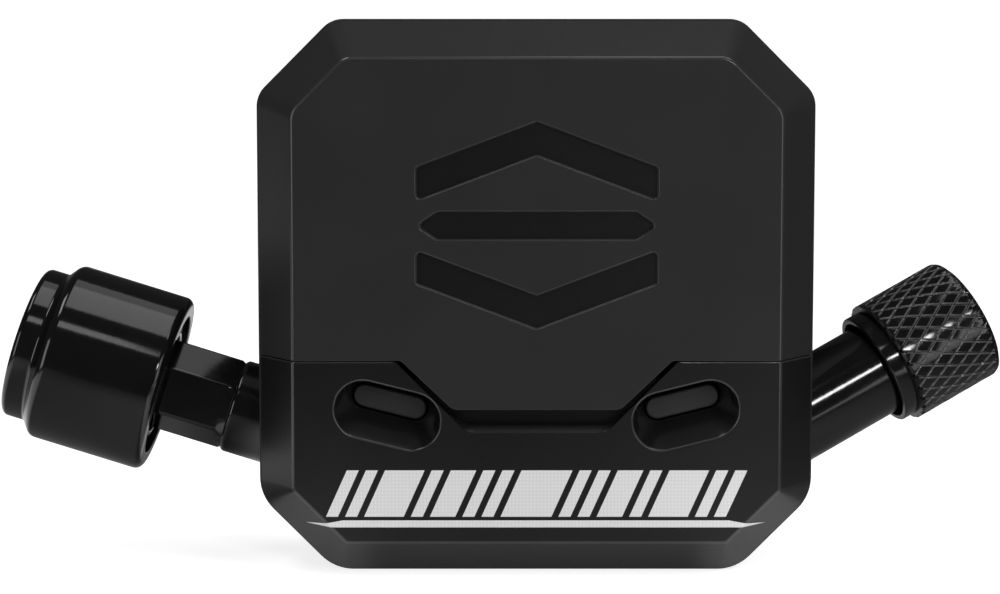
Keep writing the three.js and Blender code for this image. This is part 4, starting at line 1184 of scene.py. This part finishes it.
def rear_screws():
    for x, z in SCREWS:
        upper = z == UPPER_SCREW_Z
        name = ("upper" if upper else "lower") + ("_left" if x < 0 else "_right")
        tip = 1.4 if upper else 3.6
        path = rounded([
            (0, tip), (0.5, tip), (0.8, tip + 0.4), (0.8, 7.1, 0.05), (1.6, 7.1, 0.08), (1.6, 8.4, 0.3),
            (0.85, 8.4, 0.04), (0.75, 8.3), (0.75, 7.7), (0.02, 7.65),
        ])
        ridges = thread(0.16, 0.45, tip + 0.3, 6.4, 0, 1)

        def shape(radius, height, angle):
            if 0.7 < radius < 0.9 and height < 6.7:
                return ridges(radius - 0.06, height, angle)
            return socket_shape(radius, height, angle)

        turned_piece(
            "screw_" + name, "rear_screw_" + name, "housing", "steel", along_y(x, z),
            fine_heights(path, tip + 0.5, 6.6, 0.05), 72, shape,
        )


def seals():
    o_ring("seal_barrel", "barrel_o_ring", COUPLING, 2.22, 0.38, -8.5)
    o_ring("seal_stem", "stem_o_ring", FILL, 2.22, 0.38, -7.5)
    o_ring("seal_sensor", "sensor_o_ring", along_y(0, SENSOR_Z), 2.2, 0.45, 1.35)
    pad = ring([(0.7, 2.45, 0.1), (1.75, 2.45, 0.15), (1.75, 3.25, 0.15), (0.7, 3.25, 0.1)])
    turned_piece("core_seal", "valve_core_seal", "core_pin", "black_rubber", FILL, pad)
    disc = rounded([(0, 12.3), (3.8, 12.3, 0.12), (3.8, 12.85, 0.12), (0, 12.85)])
    turned_piece("cap_disc", "cap_seal", "cap_carrier", "black_rubber", FILL, disc)


def valve_spring():
    """A coiled spring; the real one shortens as the core pin is pressed."""
    radius, wire, turns, per_turn = 0.95, 0.16, 5, 36
    low, high = 5.9, 9.4
    made = bmesh.new()
    rings = []
    for k in range(turns * per_turn + 1):
        angle = 2 * math.pi * k / per_turn
        rise = low + (high - low) * k / (turns * per_turn)
        section = []
        for j in range(12):
            turn = 2 * math.pi * j / 12
            out = radius + wire * math.cos(turn)
            section.append(FILL @ polar(out, angle, rise + wire * math.sin(turn)))
        rings.append(section)
    skin(made, rings)
    spring = piece("core_spring", made, "housing", "steel", "valve_core_spring")
    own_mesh(spring)


# ---- floor, camera and light

# Painted brightness of the floor that is mirrored, at places across it in millimetres: high levels paint lit
# floor, and low levels paint shade under the coupling and the body and darken the right.
FLAG_REACH = 120
FLAGS = [
    (-120, 2.4), (-60, 2.0), (-46, 0.3), (-31, 0.5), (-26, 0.2), (-23, 1.3), (-15, 1.3), (-11, 0.7),
    (11, 0.7), (15, 1.4), (22, 1.4), (27, 0.4), (33, 0.4), (60, 0.04),
]


def studio():
    """A plain pale sweep, just wide enough to fill the picture, so that little of it is mirrored."""
    floor = bmesh.new()
    path = rounded([(-140, 0), (420, 0, 60), (420, 130)], per_arc=24)
    left, right = ([floor.verts.new((side * 260, y, z)) for y, z in path] for side in (-1, 1))
    for k in range(len(path) - 1):
        floor.faces.new((left[k], left[k + 1], right[k + 1], right[k]))
    mesh = new_mesh("floor", floor)
    mesh.materials.append(studio_white())
    add_object("floor", mesh)


def studio_white():
    """Plain white to the camera. What is mirrored is painted light and shade, flagged across and in front,
    with a painted pool of light.
    """
    n = Nodes("studio_white")
    tone = n.noise(60, detail=1)
    white = n.mix(n.spread(tone, 0, 1), (0.86, 0.86, 0.86), (0.88, 0.88, 0.88))
    axes = n.add("ShaderNodeSeparateXYZ")
    n.link(n.place, axes.inputs[0])
    x, y = axes.outputs["X"], axes.outputs["Y"]
    across = n.add("ShaderNodeValToRGB")
    reach = FLAG_REACH * MM
    n.link(n.spread(x, 0, 1, -reach, reach), across.inputs["Fac"])
    stops = across.color_ramp.elements
    while len(stops) < len(FLAGS):
        stops.new(0.5)
    for stop, (place, level) in zip(stops, FLAGS):
        stop.position = (place + FLAG_REACH) / (2 * FLAG_REACH)
        stop.color = (level, level, level, 1)
    depth = n.combine("MULTIPLY", n.spread(y, 0, 1, -0.075, -0.03), n.spread(y, 1, 0.1, 0.16, 0.26))
    # A painted pool of light on the floor in front and to the right, seen only in what is mirrored.
    pool = n.combine("MULTIPLY", n.spread(x, 0, 1, 0.0, 0.03), n.spread(y, 1, 0, -0.08, -0.055))
    lit = n.combine("ADD", n.combine("MULTIPLY", across.outputs["Color"], depth), pool)
    seen = n.add("ShaderNodeLightPath").outputs["Is Camera Ray"]
    # In what is mirrored the floor is dark except where lit paints light on it, and it glows there: painted
    # light and shade.
    color = n.mix(n.combine("MAXIMUM", seen, lit), (0.03, 0.03, 0.03), white)
    glow = n.combine("MAXIMUM", n.spread(seen, 0, 0.92, 0, 1), n.combine("MULTIPLY", lit, 0.3))
    n.link(color, n.shader.inputs["Emission Color"])
    n.link(glow, n.shader.inputs["Emission Strength"])
    return n.finish(color, n.spread(tone, 0.85, 0.9))


def area_light(name, place, target, size, radiance, mirrored=True):
    """A softbox of a given size in millimetres, whose face has a given brightness."""
    data = bpy.data.lights.new(name, "AREA")
    data.shape = "RECTANGLE"
    data.size, data.size_y = (side * MM for side in size)
    data.energy = radiance * math.pi * data.size * data.size_y
    obj = add_object(name, data)
    obj.location = Vector(place) * MM
    way = (Vector(target) - Vector(place)).normalized()
    obj.rotation_euler = way.to_track_quat("-Z", "Y").to_euler()
    obj.visible_glossy = mirrored


def lighting():
    """White behind the picture, almost no light from the world, and softboxes that shape what is mirrored."""
    world = bpy.data.worlds.new("studio")
    bpy.context.scene.world = world
    world.use_nodes = True
    tree = world.node_tree
    seen = tree.nodes["Background"]
    put(seen, Color=(1, 1, 1, 1), Strength=1)
    unseen = tree.nodes.new("ShaderNodeBackground")
    put(unseen, Color=(0.97, 0.98, 1, 1), Strength=0.04)
    path = tree.nodes.new("ShaderNodeLightPath")
    choice = tree.nodes.new("ShaderNodeMixShader")
    link = tree.links.new
    link(path.outputs["Is Camera Ray"], choice.inputs["Fac"])
    link(unseen.outputs["Background"], choice.inputs[1])
    link(seen.outputs["Background"], choice.inputs[2])
    link(choice.outputs["Shader"], tree.nodes["World Output"].inputs["Surface"])

    middle = (0, 0, 18)
    area_light("ceiling", (0, 60, 500), middle, (700, 700), 0.4, mirrored=False)
    area_light("overhead_far_left", (-195, -85, 442), (-195, -80, 20), (130, 240), 3.3)
    area_light("overhead_far_right", (195, -85, 442), (195, -80, 20), (110, 240), 2.2)
    area_light("overhead_right", (55, -28, 442), (55, -24, 20), (110, 280), 1.35)
    area_light("overhead_back", (55, 174, 442), (55, 170, 20), (110, 124), 0.65)
    area_light("front_strip", (-10, -330, 328), middle, (60, 60), 2.0)
    area_light("spot", (118, -353, 165), middle, (60, 36), 20)
    area_light("left_side", (-310, -285, 80), middle, (170, 260), 1.9)
    area_light("right_side", (290, -310, 80), middle, (150, 260), 1.5)
    area_light("key", (100, -120, 110), (5, 0, 22), (60, 60), 7.5, mirrored=False)


def camera():
    data = bpy.data.cameras.new("camera")
    data.lens = 85
    data.sensor_width = 36
    data.clip_start = 0.01
    obj = add_object("camera", data)
    obj.location = Vector((-2.58, -173.7, 35.6)) * MM
    obj.rotation_euler = (math.radians(90 - 5.3), 0, 0)
    bpy.context.scene.camera = obj
    bpy.context.scene.view_settings.view_transform = "Standard"


# ---- carried-over CAD nodes

def carry_over():
    """Gives each CAD node its slot's material, for any that is shown as it is."""
    for part in frame["record"]["subparts"]:
        node = frame["nodes"][part["node"]]
        node.data.materials.clear()
        node.data.materials.append(MATERIALS[part["material_slot"]])


camera()
studio()
lighting()
carry_over()
battery_cover()
front_bezel()
print_band()
rear_housing()
light_windows()
coupling()
fill_valve()
cap()
rim_gasket()
battery_tray()
coin_cell()
contacts()
circuit_board()
electronics()
air_manifold()
rear_screws()
seals()
valve_spring()
